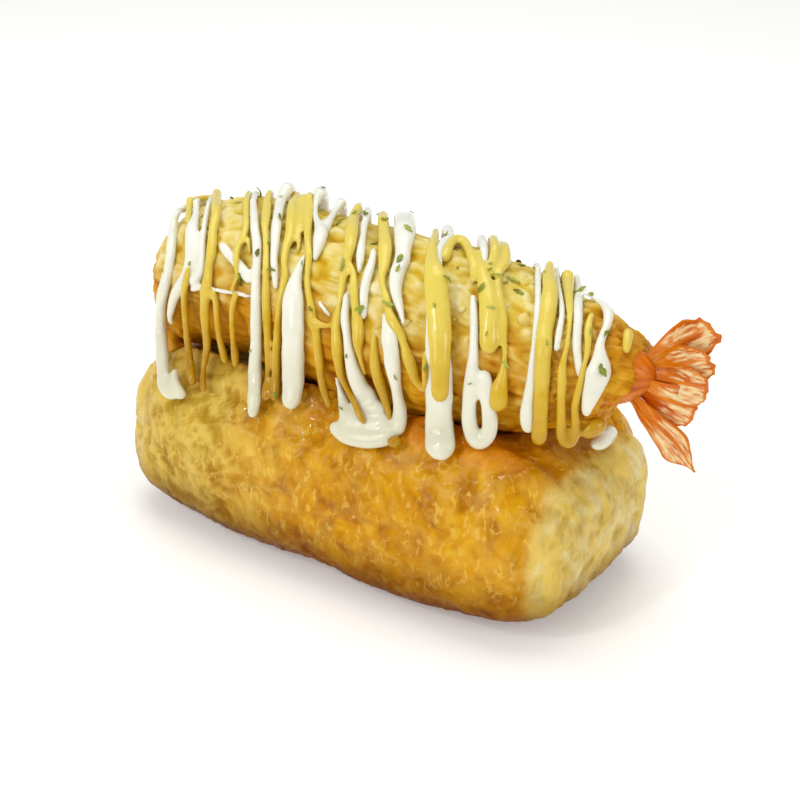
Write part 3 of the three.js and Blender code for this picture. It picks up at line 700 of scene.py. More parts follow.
def skinReliefTree(material):
    tree, given = newTree("simmeredSkinRelief", skinRelief)
    place = addNode(tree, "GeometryNodeInputPosition").outputs[0]
    parts = addNode(tree, "ShaderNodeSeparateXYZ", links={0: place}).outputs
    ridge = foldedRidges(tree, place, given["Wrinkle Size"], 3.0, 1.4, 0.16)
    dome = roundDomes(tree, place, given["Blister Size"], 0.1, 0.7)
    pore = addNode(tree, "ShaderNodeTexNoise", {"Detail": 3.0},
                   {"Vector": place, "Scale": patternScale(tree, given["Pore Size"])}).outputs[0]
    stretch = addNode(tree, "ShaderNodeVectorMath", {
        "operation": "MULTIPLY", 1: (1000 / 3, 1000 / 3, 1000 / 16)}, {0: place})
    gather = addNode(tree, "ShaderNodeTexNoise", {"Scale": 1.0, "Detail": 2.0},
                     {"Vector": stretch.outputs[0]}).outputs[0]
    nearEnd = addNode(tree, "ShaderNodeMath", {"operation": "ABSOLUTE"}, {0: parts[0]})
    endShare = addNode(tree, "ShaderNodeMapRange", {"From Min": 0.030, "From Max": 0.036},
                       {"Value": nearEnd.outputs[0]})
    rimShare = addNode(tree, "ShaderNodeMapRange", {"From Min": 0.018, "From Max": 0.026},
                       {"Value": parts[2]})
    edgeBand = addNode(tree, "ShaderNodeMath", {"operation": "MAXIMUM"},
                       {0: endShare.outputs[0], 1: rimShare.outputs[0]})
    gatherMid = addNode(tree, "ShaderNodeMath", {"operation": "MULTIPLY_ADD", 1: 2.4, 2: -1.2}, {0: gather})
    total = stackedHeights(tree, given, (
        (ridge, "Wrinkle Height"), (dome, "Blister Height"), (pore, "Pore Height")))
    pleat = addNode(tree, "ShaderNodeMath", {"operation": "MULTIPLY"},
                    {0: gatherMid.outputs[0], 1: given["Gather Height"]})
    pleats = addNode(tree, "ShaderNodeMath", {"operation": "MULTIPLY"},
                     {0: pleat.outputs[0], 1: edgeBand.outputs[0]})
    height = addNode(tree, "ShaderNodeMath", {"operation": "ADD"},
                     {0: total, 1: pleats.outputs[0]}).outputs[0]
    centred = addNode(tree, "ShaderNodeMath", {"operation": "SUBTRACT", 1: 0.2 * mm}, {0: height})
    offFloor = addNode(tree, "ShaderNodeMapRange", {"From Min": 0.0, "From Max": 2.5 * mm},
                       {"Value": parts[2]})
    kept = addNode(tree, "ShaderNodeMath", {"operation": "MULTIPLY"},
                   {0: centred.outputs[0], 1: offFloor.outputs[0]})
    raiseSurface(tree, given, kept.outputs[0], height, 0.45 * mm, "skinHeight", material)
    return tree


def buildPouch():
    source = meshObject("tofuPouchForm", *pouchForm())
    addTree(source, skinReliefTree(tofuSkinMaterial()), skinRelief)
    return carried(settle(source, "tofuPouch"), "tofu_pouch")


# Batter coat

crustRelief = {
    "Ridge Height": 0.46 * mm,
    "Ridge Size": 3.6 * mm,
    "Bubble Height": 0.34 * mm,
    "Bubble Size": 1.9 * mm,
    "Grain Height": 0.08 * mm,
    "Grain Size": 0.6 * mm,
    "Sink": 0.45 * mm,
}


def crustReliefTree(material):
    tree, given = newTree("friedCrustRelief", crustRelief)
    place = addNode(tree, "GeometryNodeInputPosition").outputs[0]
    flat = addNode(tree, "ShaderNodeVectorMath", {"operation": "MULTIPLY", 1: (0.5, 1.0, 1.3)}, {0: place})
    ridge = foldedRidges(tree, flat.outputs[0], given["Ridge Size"], 4.0, 1.2, 0.2)
    bubble = roundDomes(tree, place, given["Bubble Size"], 0.05, 0.75)
    grain = addNode(tree, "ShaderNodeTexNoise", {"Detail": 3.0},
                    {"Vector": place, "Scale": patternScale(tree, given["Grain Size"])}).outputs[0]
    total = stackedHeights(tree, given, (
        (ridge, "Ridge Height"), (bubble, "Bubble Height"), (grain, "Grain Height")))
    kept = addNode(tree, "ShaderNodeMath", {"operation": "SUBTRACT"}, {0: total, 1: given["Sink"]})
    raiseSurface(tree, given, kept.outputs[0], total, 0.92 * mm, "crustHeight", material)
    return tree


def buildCoat(material):
    source = meshObject("batterCoatForm", *coatForm())
    addTree(source, crustReliefTree(material), crustRelief)
    return carried(settle(source, "batterCoat"), "tempura_prawn")


# Sauce strands

bead = {  # millimetres
    "step": 0.35,  # between the sections of a strand
    "sides": 16,
    "sunk": 0.42,  # share of the half thickness that lies in what carries it
    "shoulderStart": 29,  # heights between which a hanging strand moves out over the pouch's shoulder
    "shoulderEnd": 21.5,
    "clearance": 0.3,
    "curtain": (-35.5, 37, 15),  # first and last place along, and how far down from the coat's axis
    "curtainCells": (145, 60),  # faces along and down
    "samples": 24,  # between one knot and the next
    "backDrift": 0.68,  # how far towards the head a strand runs for each millimetre back over the crown
    "backEnd": 38,
    "backWaver": (1.5, 2.1),  # how much the height of the strands' ends varies, and its pace along the coat
    "backReach": 34,  # how far from the middle a strand can go over the crown
    "topHeight": 48.6,
    "overSight": 12,  # pixels above a strand's first knot; it comes from the crown if no food is seen there
    "voxel": 0.24,
    "passes": 3,  # how often the fused surface is evened out
    "roundUpTo": 0.6,  # half width above which a strand lies lower than it is wide
    "lowering": 0.45,
    "depthReach": 6,  # samples each way over which the depth and the turn of a strand are evened out
    "turnReach": 9,
    "waver": ((0.03, 0.7, 1.9), (0.02, 1.7, 1.0)),  # share of the width, pace along it, shift between strands
}

# Each strand is followed from its crown down, as knots of a place in the photograph's 800 by 800 frame, in
# pixels, and the strand's width there in millimetres
mayonnaiseStrands = {
    "farLeft": [(177, 213, 1.1), (174, 220, 1.4), (172, 240, 1.5), (170, 260, 1.6), (166, 280, 1.7),
                (162, 296, 1.8), (161, 312, 1.9), (161, 330, 2.0), (162, 350, 2.1), (163, 370, 2.1),
                (165, 386, 2.2), (171, 393, 2.0), (181, 391, 1.6)],
    "farLeftFilm": [(176, 368, 0.8), (174, 380, 1.6), (178, 392, 2.0), (186, 396, 1.4)],
    "hook": [(196, 202, 1.0), (196, 215, 1.2), (192, 230, 2.0), (192, 250, 2.2), (191, 262, 2.2),
             (188, 275, 2.1), (180, 287, 1.8), (174, 298, 1.5), (171, 310, 1.2), (170, 319, 0.9),
             (174, 325, 0.7)],
    "besideHook": [(208, 206, 0.8), (205, 222, 0.9), (203, 240, 1.0), (202, 262, 1.1), (199, 276, 1.6),
                   (190, 284, 1.8)],
    "alongLedge": [(190, 290, 0.9), (205, 287, 0.8), (216, 290, 0.7), (228, 292, 0.7), (240, 294, 0.7),
                   (250, 297, 0.7)],
    "acrossLedge": [(221, 243, 1.2), (227, 252, 1.5), (236, 262, 1.5), (244, 272, 1.6), (252, 282, 1.6)],
    "longLeft": [(253, 202, 1.1), (254, 215, 1.3), (255, 230, 1.4), (257, 245, 1.4), (257, 262, 1.4),
                 (256, 280, 1.5), (256, 300, 1.6), (256, 325, 1.7), (256, 345, 1.8), (255, 365, 2.0),
                 (255, 385, 2.1), (254, 400, 2.1), (253, 411, 1.7), (251, 418, 1.1)],
    "crownLeft": [(287, 189, 2.2), (281, 200, 1.7), (278, 215, 1.6), (276, 230, 1.5), (275, 245, 1.3),
                  (274, 260, 1.2), (275, 275, 1.1), (276, 290, 0.8)],
    "broadLeft": [(305, 254, 0.6), (301, 264, 1.0), (297, 275, 1.5), (294, 288, 2.4), (293, 302, 3.1),
                  (293, 330, 3.5), (293, 360, 3.5), (293, 385, 3.4), (291, 400, 3.0), (289, 409, 2.2)],
    "loopLeft": [(320, 194, 2.0), (316, 204, 1.0), (315, 214, 0.9), (318, 224, 1.2), (321, 232, 2.1),
                 (319, 243, 1.8), (317, 252, 1.2), (314, 262, 0.6)],
    "loopRight": [(341, 203, 1.5), (336, 210, 1.1), (331, 218, 1.1), (327, 225, 1.5), (322, 233, 2.0)],
    "slip": [(318, 300, 0.6), (323, 308, 0.7), (331, 317, 0.6)],
    "midFirst": [(367, 217, 1.1), (364, 226, 1.1), (363, 236, 1.0), (361, 250, 1.3), (360, 262, 1.1),
                 (359, 274, 0.6)],
    "midSecond": [(346, 292, 0.7), (346, 303, 1.1), (345, 318, 1.3), (347, 335, 1.3), (349, 350, 1.5),
                  (352, 365, 2.0), (357, 380, 2.5), (363, 394, 2.7), (368, 408, 2.6), (371, 420, 2.4),
                  (371, 432, 2.2)],
    "midThird": [(374, 248, 0.8), (372, 262, 1.2), (369, 272, 1.4), (366, 282, 1.4), (364, 294, 1.3),
                 (364, 308, 1.1), (363, 320, 1.0)],
    "midFoot": [(336, 376, 0.6), (340, 390, 1.0), (344, 403, 1.7), (347, 416, 2.3), (351, 428, 2.6),
                (356, 434, 2.4)],
    "midFourth": [(366, 384, 0.9), (371, 396, 1.7), (374, 412, 2.2), (376, 428, 2.4)],
    "pool": [(331, 424, 1.5), (339, 430, 2.2), (349, 435, 2.8), (361, 437, 3.1), (373, 438, 3.0),
             (385, 436, 2.8), (395, 430, 2.3)],
    "poolMiddle": [(348, 412, 2.2), (356, 420, 3.0), (368, 425, 3.2), (380, 424, 3.0), (390, 416, 2.6)],
    "poolUpper": [(352, 400, 1.6), (362, 406, 2.6), (374, 410, 2.8), (386, 408, 2.2)],
    "rightOfMiddle": [(405, 231, 3.1), (404, 241, 2.7), (403, 251, 2.4), (402, 261, 2.3), (398, 271, 2.2),
                      (396, 281, 1.9), (396, 291, 1.7), (398, 301, 1.4), (401, 312, 1.0), (404, 326, 0.6)],
    "betweenMustard": [(384, 312, 0.6), (386, 325, 1.3), (389, 338, 2.4), (391, 350, 2.3), (392, 362, 2.2),
                       (394, 374, 2.0), (396, 386, 1.6), (398, 398, 1.7), (400, 410, 2.0),
                       (399, 424, 2.1), (396, 435, 1.9)],
    "longRight": [(449, 237, 1.6), (441, 247, 1.2), (438, 262, 1.2), (437, 300, 2.4), (437, 330, 3.2),
                  (438, 360, 3.7), (439, 390, 3.9), (439, 420, 4.0), (440, 440, 4.1), (440, 452, 3.9),
                  (439, 460, 3.1)],
    "tearLoop": [(473, 294, 0.9), (474, 320, 1.2), (474, 340, 1.3), (473, 360, 1.5), (471, 378, 1.8),
                 (470, 395, 2.0), (469, 412, 2.1), (470, 426, 2.2), (474, 437, 2.3), (480, 441, 2.3),
                 (487, 436, 2.2), (490, 426, 2.2), (489, 411, 2.1), (487, 396, 2.1), (485, 382, 2.0),
                 (483, 370, 1.6)],
    "shortRight": [(484, 251, 1.2), (484, 261, 1.1), (483, 272, 0.7)],
    "underDouble": [(538, 269, 0.9), (538, 285, 1.0), (538, 300, 1.0), (537, 320, 1.0), (535, 340, 1.0),
                    (533, 360, 1.1), (531, 380, 1.2), (529, 395, 1.5), (527, 410, 1.9), (527, 422, 1.9),
                    (529, 433, 1.5)],
    "besideDouble": [(557, 269, 0.8), (558, 283, 0.8), (561, 300, 0.8), (562, 315, 0.9), (560, 328, 1.0),
                     (558, 340, 1.0), (556, 352, 0.9)],
    "nearTail": [(577, 277, 0.9), (578, 290, 1.1), (578, 305, 1.3), (578, 320, 1.3), (577, 335, 1.3),
                 (577, 350, 1.2), (579, 365, 1.2), (580, 378, 0.8)],
    "broadTail": [(586, 293, 0.6), (594, 298, 0.7), (602, 304, 1.0), (608, 313, 1.4), (607, 325, 1.2),
                  (603, 335, 1.2), (600, 345, 1.3), (600, 355, 1.9), (600, 365, 2.8), (598, 375, 3.2),
                  (594, 387, 2.8), (590, 398, 2.2), (587, 408, 1.6), (586, 416, 1.1)],
    "tailFoot": [(593, 445, 1.4), (600, 442, 2.2), (607, 436, 2.6), (612, 430, 2.0)],
}
mustardStrands = {
    "firstCrown": [(190, 200, 1.2), (189, 212, 1.1), (188, 224, 0.7)],
    "first": [(189, 266, 0.7), (186, 278, 1.0), (184, 295, 1.1), (185, 312, 1.1), (187, 335, 1.1),
              (189, 355, 1.3), (191, 372, 1.4), (193, 386, 1.2)],
    "second": [(217, 193, 1.5), (216, 204, 1.5), (216, 216, 1.5), (213, 230, 1.3), (212, 245, 1.5),
               (211, 255, 1.6), (209, 265, 1.3), (208, 276, 1.4), (206, 288, 1.7), (205, 300, 1.6),
               (205, 315, 1.6), (206, 330, 1.4), (207, 345, 1.2), (205, 360, 1.1), (203, 372, 0.9),
               (203, 385, 1.1), (205, 392, 1.2)],
    "third": [(213, 290, 0.9), (216, 303, 1.0), (217, 320, 1.0), (220, 340, 1.1), (223, 352, 1.2),
              (226, 364, 1.1)],
    "fourth": [(237, 292, 0.9), (233, 303, 1.0), (232, 320, 1.0), (233, 340, 0.9), (235, 355, 1.2),
               (236, 368, 1.1)],
    "forked": [(246, 203, 1.0), (246, 215, 1.0), (246, 228, 1.1), (243, 238, 1.2), (238, 247, 1.0),
               (236, 257, 1.0), (236, 267, 0.8), (238, 276, 0.8), (234, 284, 0.7), (231, 292, 0.7)],
    "forkTip": [(247, 236, 0.9), (249, 246, 0.7), (250, 256, 0.5)],
    "besideLong": [(269, 194, 1.0), (267, 203, 1.4), (266, 216, 1.5), (265, 228, 1.1), (266, 240, 1.0),
                   (266, 260, 1.1), (266, 280, 1.1), (266, 300, 1.3), (267, 320, 1.4), (268, 340, 1.2),
                   (268, 360, 1.0), (268, 376, 1.0), (266, 390, 1.3), (266, 401, 1.3)],
    "crownMiddle": [(296, 196, 1.5), (293, 206, 1.6), (291, 220, 1.6), (290, 235, 1.5), (286, 248, 1.2),
                    (284, 262, 1.0), (285, 275, 1.1), (283, 290, 1.2), (280, 302, 1.1), (278, 318, 1.0),
                    (277, 340, 1.2), (276, 360, 1.3), (276, 380, 1.4), (275, 395, 1.5), (274, 402, 1.2)],
    "crownThin": [(302, 198, 0.8), (300, 212, 0.8), (299, 228, 0.8), (299, 240, 0.8), (298, 254, 0.6)],
    "fifth": [(309, 198, 1.3), (309, 210, 1.4), (308, 225, 1.3), (308, 240, 1.1), (309, 255, 1.1),
              (308, 266, 1.0), (307, 280, 0.9), (308, 292, 1.0), (310, 302, 1.0), (312, 312, 1.2),
              (312, 322, 1.4), (316, 332, 1.3), (317, 345, 1.3), (319, 360, 1.3), (321, 375, 1.3),
              (324, 390, 1.3), (327, 400, 1.1), (330, 408, 1.1)],
    "fifthLedge": [(311, 319, 1.0), (319, 324, 1.0), (328, 326, 0.8), (334, 322, 0.8)],
    "sixth": [(358, 208, 1.3), (354, 217, 1.6), (352, 227, 1.8), (351, 237, 1.9), (350, 247, 1.7),
              (348, 257, 1.4), (345, 267, 1.3), (343, 280, 1.2), (341, 294, 1.0), (339, 306, 0.9),
              (337, 318, 1.4), (336, 330, 1.5), (337, 345, 1.7), (338, 360, 1.5), (341, 375, 1.3),
              (347, 388, 1.0), (354, 402, 1.0), (359, 414, 1.0), (365, 424, 0.8)],
    "sixthFork": [(349, 262, 0.8), (353, 272, 0.9), (354, 285, 1.2), (355, 300, 1.3), (357, 315, 1.5),
                  (358, 330, 1.7), (358, 342, 1.5), (359, 352, 1.0), (362, 364, 0.8), (366, 376, 0.6)],
    "seventh": [(383, 220, 1.5), (384, 230, 1.8), (385, 242, 2.0), (385, 255, 1.9), (384, 267, 1.6),
                (382, 278, 1.1), (384, 290, 0.9), (387, 300, 1.2), (389, 312, 1.2), (394, 325, 1.6),
                (400, 335, 1.5), (404, 345, 1.2), (407, 355, 1.6), (411, 366, 1.6), (415, 378, 1.4),
                (420, 386, 1.2), (424, 390, 1.0), (425, 380, 1.0), (425, 365, 0.9), (425, 350, 0.8)],
    "eighth": [(374, 334, 0.9), (374, 350, 1.2), (375, 365, 1.5), (378, 378, 1.6), (382, 390, 1.5),
               (386, 402, 1.3), (389, 414, 0.9), (389, 421, 0.6)],
    "poolMark": [(387, 441, 1.3), (394, 442, 1.9), (401, 439, 1.5)],
    "broad": [(436, 232, 0.9), (434, 240, 1.3), (432, 250, 1.6), (432, 262, 2.0), (434, 272, 2.8),
              (436, 282, 3.3), (437, 300, 3.2), (439, 320, 3.1), (440, 340, 3.1), (440, 360, 2.8),
              (440, 380, 2.4), (440, 395, 2.2), (440, 402, 1.7)],
    "broadLoop": [(443, 262, 1.5), (447, 252, 1.5), (451, 243, 1.4), (457, 239, 1.4), (463, 241, 1.5),
                  (468, 248, 1.4), (471, 256, 1.3), (473, 267, 1.1), (473, 277, 0.9), (472, 285, 0.6)],
    "twinLeft": [(479, 250, 1.0), (480, 262, 1.1), (483, 275, 1.8), (486, 288, 2.3), (488, 302, 2.5),
                 (489, 316, 2.6), (489, 330, 2.5), (489, 344, 2.5), (488, 354, 2.1)],
    "twinMiddle": [(495, 248, 1.3), (494, 258, 1.5), (490, 268, 1.5), (487, 278, 1.6)],
    "twinRight": [(505, 251, 1.5), (506, 262, 1.4), (500, 271, 1.1), (498, 281, 0.9), (499, 292, 1.0),
                  (501, 306, 1.2), (503, 320, 1.3), (503, 335, 1.2), (505, 350, 0.8), (504, 365, 0.9),
                  (502, 378, 1.6), (499, 390, 2.4), (498, 402, 2.7), (497, 411, 2.1)],
    "double": [(550, 265, 1.1), (549, 276, 2.0), (550, 290, 2.2), (548, 310, 2.3), (545, 330, 2.3),
               (544, 345, 2.3), (543, 360, 2.1), (542, 380, 2.1), (541, 400, 2.1), (540, 420, 2.1),
               (539, 436, 2.1), (539, 445, 1.8)],
    "footLoop": [(568, 276, 1.7), (568, 288, 1.6), (569, 300, 1.2), (570, 315, 0.9), (569, 330, 0.7),
                 (567, 345, 0.8), (564, 358, 0.9), (562, 370, 1.2), (562, 385, 1.3), (561, 400, 1.3),
                 (561, 415, 1.3), (561, 430, 1.4), (564, 441, 1.5), (570, 443, 1.5), (575, 435, 1.4),
                 (575, 420, 1.2), (575, 406, 1.1), (578, 393, 1.1), (581, 380, 1.0), (584, 368, 0.9),
                 (587, 355, 0.9), (588, 342, 1.0), (588, 330, 1.1), (590, 318, 0.9), (594, 312, 0.7)],
    "tailCrown": [(628, 329, 1.3), (628, 336, 1.4), (627, 344, 1.3), (626, 354, 1.1)],
    "tailMark": [(583, 437, 1.3), (590, 431, 2.2), (598, 426, 2.4), (606, 421, 1.6)],
}


def hangWidth(x, z):  # how far out a strand hangs: down from the coat, then over the pouch's shoulder
    batter = coat["widthRatio"] * np.maximum(coatRadius(x), 2.5)
    shoulder = np.maximum(batter, pouchHalfWidth(x, bead["shoulderEnd"]) + bead["clearance"])
    return mix(batter, shoulder, 1 - smoothstep(z, bead["shoulderEnd"], bead["shoulderStart"]))


def curtain():  # the surface in front of the coat that the strands hang down in
    start, end, drop = bead["curtain"]
    rows, down = bead["curtainCells"]
    x = np.linspace(start, end, rows + 1)[:, None]
    z = coatAxis(x) + np.linspace(0, -drop, down + 1)[None, :]
    points = np.stack([x + 0 * z, -hangWidth(x, z), z], -1).reshape(-1, 3) * mm
    index = np.arange(z.size).reshape(z.shape)
    return BVHTree.FromPolygons(points.tolist(), gridQuads(index).tolist())


def smoothed(values, reach):  # along a strand, over reach samples each way
    window = np.hanning(2 * reach + 3)[1:-1, None]
    padded = np.pad(values, ((reach, reach), (0, 0)), mode="edge")
    return sum(padded[k:k + len(values)] * window[k] for k in range(2 * reach + 1)) / window.sum()


def throughKnots(knots, step):  # Catmull-Rom curve through the knots, in even steps
    knots = np.asarray(knots, float)
    padded = np.concatenate([[2 * knots[0] - knots[1]], knots, [2 * knots[-1] - knots[-2]]])
    rows = []
    for k in range(len(knots) - 1):
        a, b, c, d = padded[k:k + 4]
        t = np.linspace(0, 1, bead["samples"], endpoint=k == len(knots) - 2)[:, None]
        rows.append(0.5 * (2 * b + (c - a) * t + (2 * a - 5 * b + 4 * c - d) * t ** 2
                           + (3 * b - a - 3 * c + d) * t ** 3))
    line = np.concatenate(rows)
    lengths = np.concatenate([[0], np.cumsum(np.linalg.norm(np.diff(line[:, :2], axis=0), axis=1))])
    at = np.linspace(0, lengths[-1], max(4, round(lengths[-1] / step)))
    return np.stack([np.interp(at, lengths, line[:, j]) for j in range(3)], 1)


def firstHit(origin, direction, carriers):
    hits = [tree.ray_cast(origin, direction) for tree in carriers]
    hits = [hit for hit in hits if hit[0] is not None]
    return min(hits, key=lambda hit: hit[3]) if hits else None


def pixelRay(px, py):
    place, back = cameraPlace()
    right = Vector((0, 0, 1)).cross(back).normalized()
    up = back.cross(right)
    half, focal = camera["framePixels"] / 2, camera["focalPixels"]
    return place * mm, (-back + right * ((px - half) / focal) - up * ((py - half) / focal)).normalized()


def halfThickness(halfWidth):  # a narrow bead is round, a broad one is low
    return halfWidth / (1 + bead["lowering"] * np.maximum(halfWidth - bead["roundUpTo"], 0))


def laidStrand(knots, carriers):  # rows of place and outward direction, half width and half thickness
    pixelsPerMillimetre = camera["focalPixels"] / camera["distance"]
    line = throughKnots(knots, bead["step"] * pixelsPerMillimetre)
    rays = [pixelRay(px, py) for px, py, _ in line]
    hits = [firstHit(origin, direction, carriers) for origin, direction in rays]
    known = [k for k, hit in enumerate(hits) if hit]
    depths = np.interp(np.arange(len(hits)), known, [hits[k][3] / mm for k in known])
    normals = np.array([hits[min(known, key=lambda j: abs(j - k))][1] for k in range(len(hits))])
    near = np.min([np.pad(depths, 2, mode="edge")[k:k + len(depths)] for k in range(5)], axis=0)
    near = smoothed(near[:, None], bead["depthReach"])[:, 0]
    normals = smoothed(normals, bead["turnReach"])
    normals /= np.linalg.norm(normals, axis=1)[:, None]
    halfWidth = line[:, 2] / 2
    thick = halfThickness(halfWidth)
    aims = np.array([direction for _, direction in rays])
    facing = np.maximum(-(normals * aims).sum(1), 0.5)
    lifted = near - thick * (1 - bead["sunk"]) / facing
    places = np.array(rays[0][0]) / mm + aims * lifted[:, None]
    rows = np.concatenate([places, normals, halfWidth[:, None], thick[:, None]], 1)
    overTop = firstHit(*pixelRay(line[0, 0], line[0, 1] - bead["overSight"]), carriers) is None
    if not overTop or rows[0, 0] > bead["backReach"]:
        return rows
    return np.concatenate([overCrown(rows[0])[::-1], rows])


def overCrown(first):  # goes on behind the crown, where the camera doesn't see
    x, y, z = first[:3]
    ratio = coat["widthRatio"]
    start = math.atan2(z - coatAxis(x), y / ratio)
    reach = math.hypot(z - coatAxis(x), y / ratio)
    waver, pace = bead["backWaver"]
    end = math.asin(min(0.8, (bead["backEnd"] + waver * math.sin(x * pace) - coatAxis(x)) / reach))
    rows = []
    for angle in np.linspace(start, end, max(3, round((start - end) * reach / bead["step"])))[1:]:
        newY = reach * ratio * math.cos(angle)
        newX = max(x - bead["backDrift"] * (newY - y), min(x, -bead["backReach"]))
        fall = min(1.02, max(float(coatRadius(newX)), 3) / max(float(coatRadius(x)), 3))
        out = Vector((0, math.cos(angle) / ratio, math.sin(angle))).normalized()
        newZ = min(coatAxis(newX) + reach * fall * math.sin(angle), max(z, bead["topHeight"]))
        rows.append((newX, newY * fall, newZ, *out, *first[6:]))
    return np.array(rows)


def strandMesh(name, lines):
    points, edges, halfWidths, flatness, outward = [], [], [], [], []
    for number, line in enumerate(lines):
        start = len(points)
        along = np.concatenate([[0], np.cumsum(np.linalg.norm(np.diff(line[:, :3], axis=0), axis=1))])
        toEnd = np.minimum(along, along[-1] - along) / line[:, 6]
        rounded = np.sqrt(1 - (1 - np.minimum(1, toEnd * 0.9 + 0.12)) ** 2)  # each end closes round
        uneven = 1 + sum(share * np.sin(along * pace + number * shift)
                         for share, pace, shift in bead["waver"])
        points += line[:, :3].tolist()
        halfWidths += (line[:, 6] * rounded * uneven * mm).tolist()
        flatness += (line[:, 7] / line[:, 6]).tolist()
        outward += line[:, 3:6].tolist()
        edges += [(k, k + 1) for k in range(start, len(points) - 1)]
    mesh = bpy.data.meshes.new(name)
    mesh.from_pydata((np.array(points) * mm).tolist(), edges, [])
    storeOnPoints(mesh, "halfWidth", halfWidths)
    storeOnPoints(mesh, "flatness", flatness)
    storeOnPoints(mesh, "outward", outward)
    return linkedObject(name, mesh)


def strandTree(material):  # round tubes along the lines, pressed flat towards what carries them
    tree, given = newTree("pipedStrands", {"Sides": bead["sides"]})
    width = addNode(tree, "GeometryNodeInputNamedAttribute", {"data_type": "FLOAT", "Name": "halfWidth"})
    flat = addNode(tree, "GeometryNodeInputNamedAttribute", {"data_type": "FLOAT", "Name": "flatness"})
    out = addNode(tree, "GeometryNodeInputNamedAttribute", {"data_type": "FLOAT_VECTOR", "Name": "outward"})
    centre = addNode(tree, "GeometryNodeInputNamedAttribute", {"data_type": "FLOAT_VECTOR", "Name": "centre"})
    place = addNode(tree, "GeometryNodeInputPosition").outputs[0]
    line = addNode(tree, "GeometryNodeMeshToCurve", links={"Mesh": given["Geometry"]})
    marked = addNode(tree, "GeometryNodeStoreNamedAttribute", {
        "data_type": "FLOAT_VECTOR", "domain": "POINT", "Name": "centre"},
        {"Geometry": line.outputs[0], "Value": place})
    ring = addNode(tree, "GeometryNodeCurvePrimitiveCircle", {"Radius": 1.0}, {"Resolution": given["Sides"]})
    tube = addNode(tree, "GeometryNodeCurveToMesh", {"Fill Caps": True}, {
        "Curve": marked.outputs[0], "Profile Curve": ring.outputs[0], "Scale": width.outputs[0]})
    arm = addNode(tree, "ShaderNodeVectorMath", {"operation": "SUBTRACT"}, {0: place, 1: centre.outputs[0]})
    height = addNode(tree, "ShaderNodeVectorMath", {"operation": "DOT_PRODUCT"},
                     {0: arm.outputs[0], 1: out.outputs[0]})
    less = addNode(tree, "ShaderNodeMath", {"operation": "SUBTRACT", 1: 1.0}, {0: flat.outputs[0]})
    press = addNode(tree, "ShaderNodeMath", {"operation": "MULTIPLY"},
                    {0: height.outputs["Value"], 1: less.outputs[0]})
    offset = addNode(tree, "ShaderNodeVectorMath", {"operation": "SCALE"},
                     {0: out.outputs[0], "Scale": press.outputs[0]})
    pressed = addNode(tree, "GeometryNodeSetPosition",
                      links={"Geometry": tube.outputs[0], "Offset": offset.outputs[0]})
    endTree(tree, pressed.outputs[0], material)
    return tree


def flowTree(material):  # evens out the surface of what has run together
    tree, given = newTree("evenedSurface", {"Passes": bead["passes"]})
    place = addNode(tree, "GeometryNodeInputPosition").outputs[0]
    even = addNode(tree, "GeometryNodeBlurAttribute", {"data_type": "FLOAT_VECTOR"},
                   {"Value": place, "Iterations": given["Passes"]})
    moved = addNode(tree, "GeometryNodeSetPosition", links={
        "Geometry": given["Geometry"], "Position": socketOf(even.outputs, "Value")})
    endTree(tree, moved.outputs[0], material)
    return tree


def fuse(source, voxel, material):  # overlapping forms become one skin
    fused = source.modifiers.new("runTogether", "REMESH")
    fused.mode = "VOXEL"
    fused.voxel_size = voxel * mm
    addTree(source, flowTree(material), {"Passes": bead["passes"]})


def buildSauce(name, strands, carriers, material):
    source = strandMesh(name + "Lines", [laidStrand(knots, carriers) for knots in strands.values()])
    addTree(source, strandTree(material), {"Sides": bead["sides"]})
    fuse(source, bead["voxel"], material)
    return carried(settle(source, name), "tempura_prawn")


def surfaceOf(piece):
    return BVHTree.FromPolygons([v.co for v in piece.data.vertices],
                                [tuple(p.vertices) for p in piece.data.polygons])


# Prawn's tail

tail = {  # lengths in millimetres, counts and shares without a unit
    "headX": 30,  # the shell segment starts inside the coat
    "tailX": 42.6,
    "headRadius": 5.0,
    "tailRadius": 4.4,
    "rise": 1.1,
    "plate": 0.35,  # how far the last shell plate stands out
    "plateFrom": (0.3, 0.42),  # shares of the segment's length
    "plateTo": (0.55, 0.6),
    "keel": 0.3,
    "keelWidth": 0.25,  # radians
    "fibre": 0.35,
    "bladeThickness": 0.5,
    "ragged": 0.3,  # how far a lobe's edge wanders
    "raggedSize": 1.6,
    "tipRound": 0.5,
    "tipNotch": 0.7,  # how deep the tip is torn
    "middleRib": 0.8,
    "edgeRib": 0.8,
    "tipRib": 0.6,
    "fineRib": 0.2,
    "fineRibPace": 15,
    "twist": 0.35,  # how far a lobe leaves its plane, by a twist, by waves and by small folds
    "wave": 0.25,
    "crinkle": 0.5,
    "crinkleSize": 2.2,
    "grain": 0.22,  # how far the flecks are drawn out along the shell and the fins
    "shellCells": (90, 110),  # faces along and around the shell segment
    "cells": (110, 44),  # faces along and across a blade
}
# Place of the root, angle above the sushi's length, length, half width, share of it left at the tip, lean
fins = [
    (40.0, 0.6, 37.3, 42, 12.6, 2.8, 0.72, 6),
    (40.2, 0.3, 37.0, 24, 10.4, 2.9, 0.6, 2),
    (40.2, -0.4, 36.6, 5, 9.8, 2.9, 0.62, -6),
    (40.0, -0.9, 36.0, -17, 8.6, 3.0, 0.6, -4),
    (38.8, -1.5, 35.2, -41, 13.8, 2.5, 0.16, 8),
]


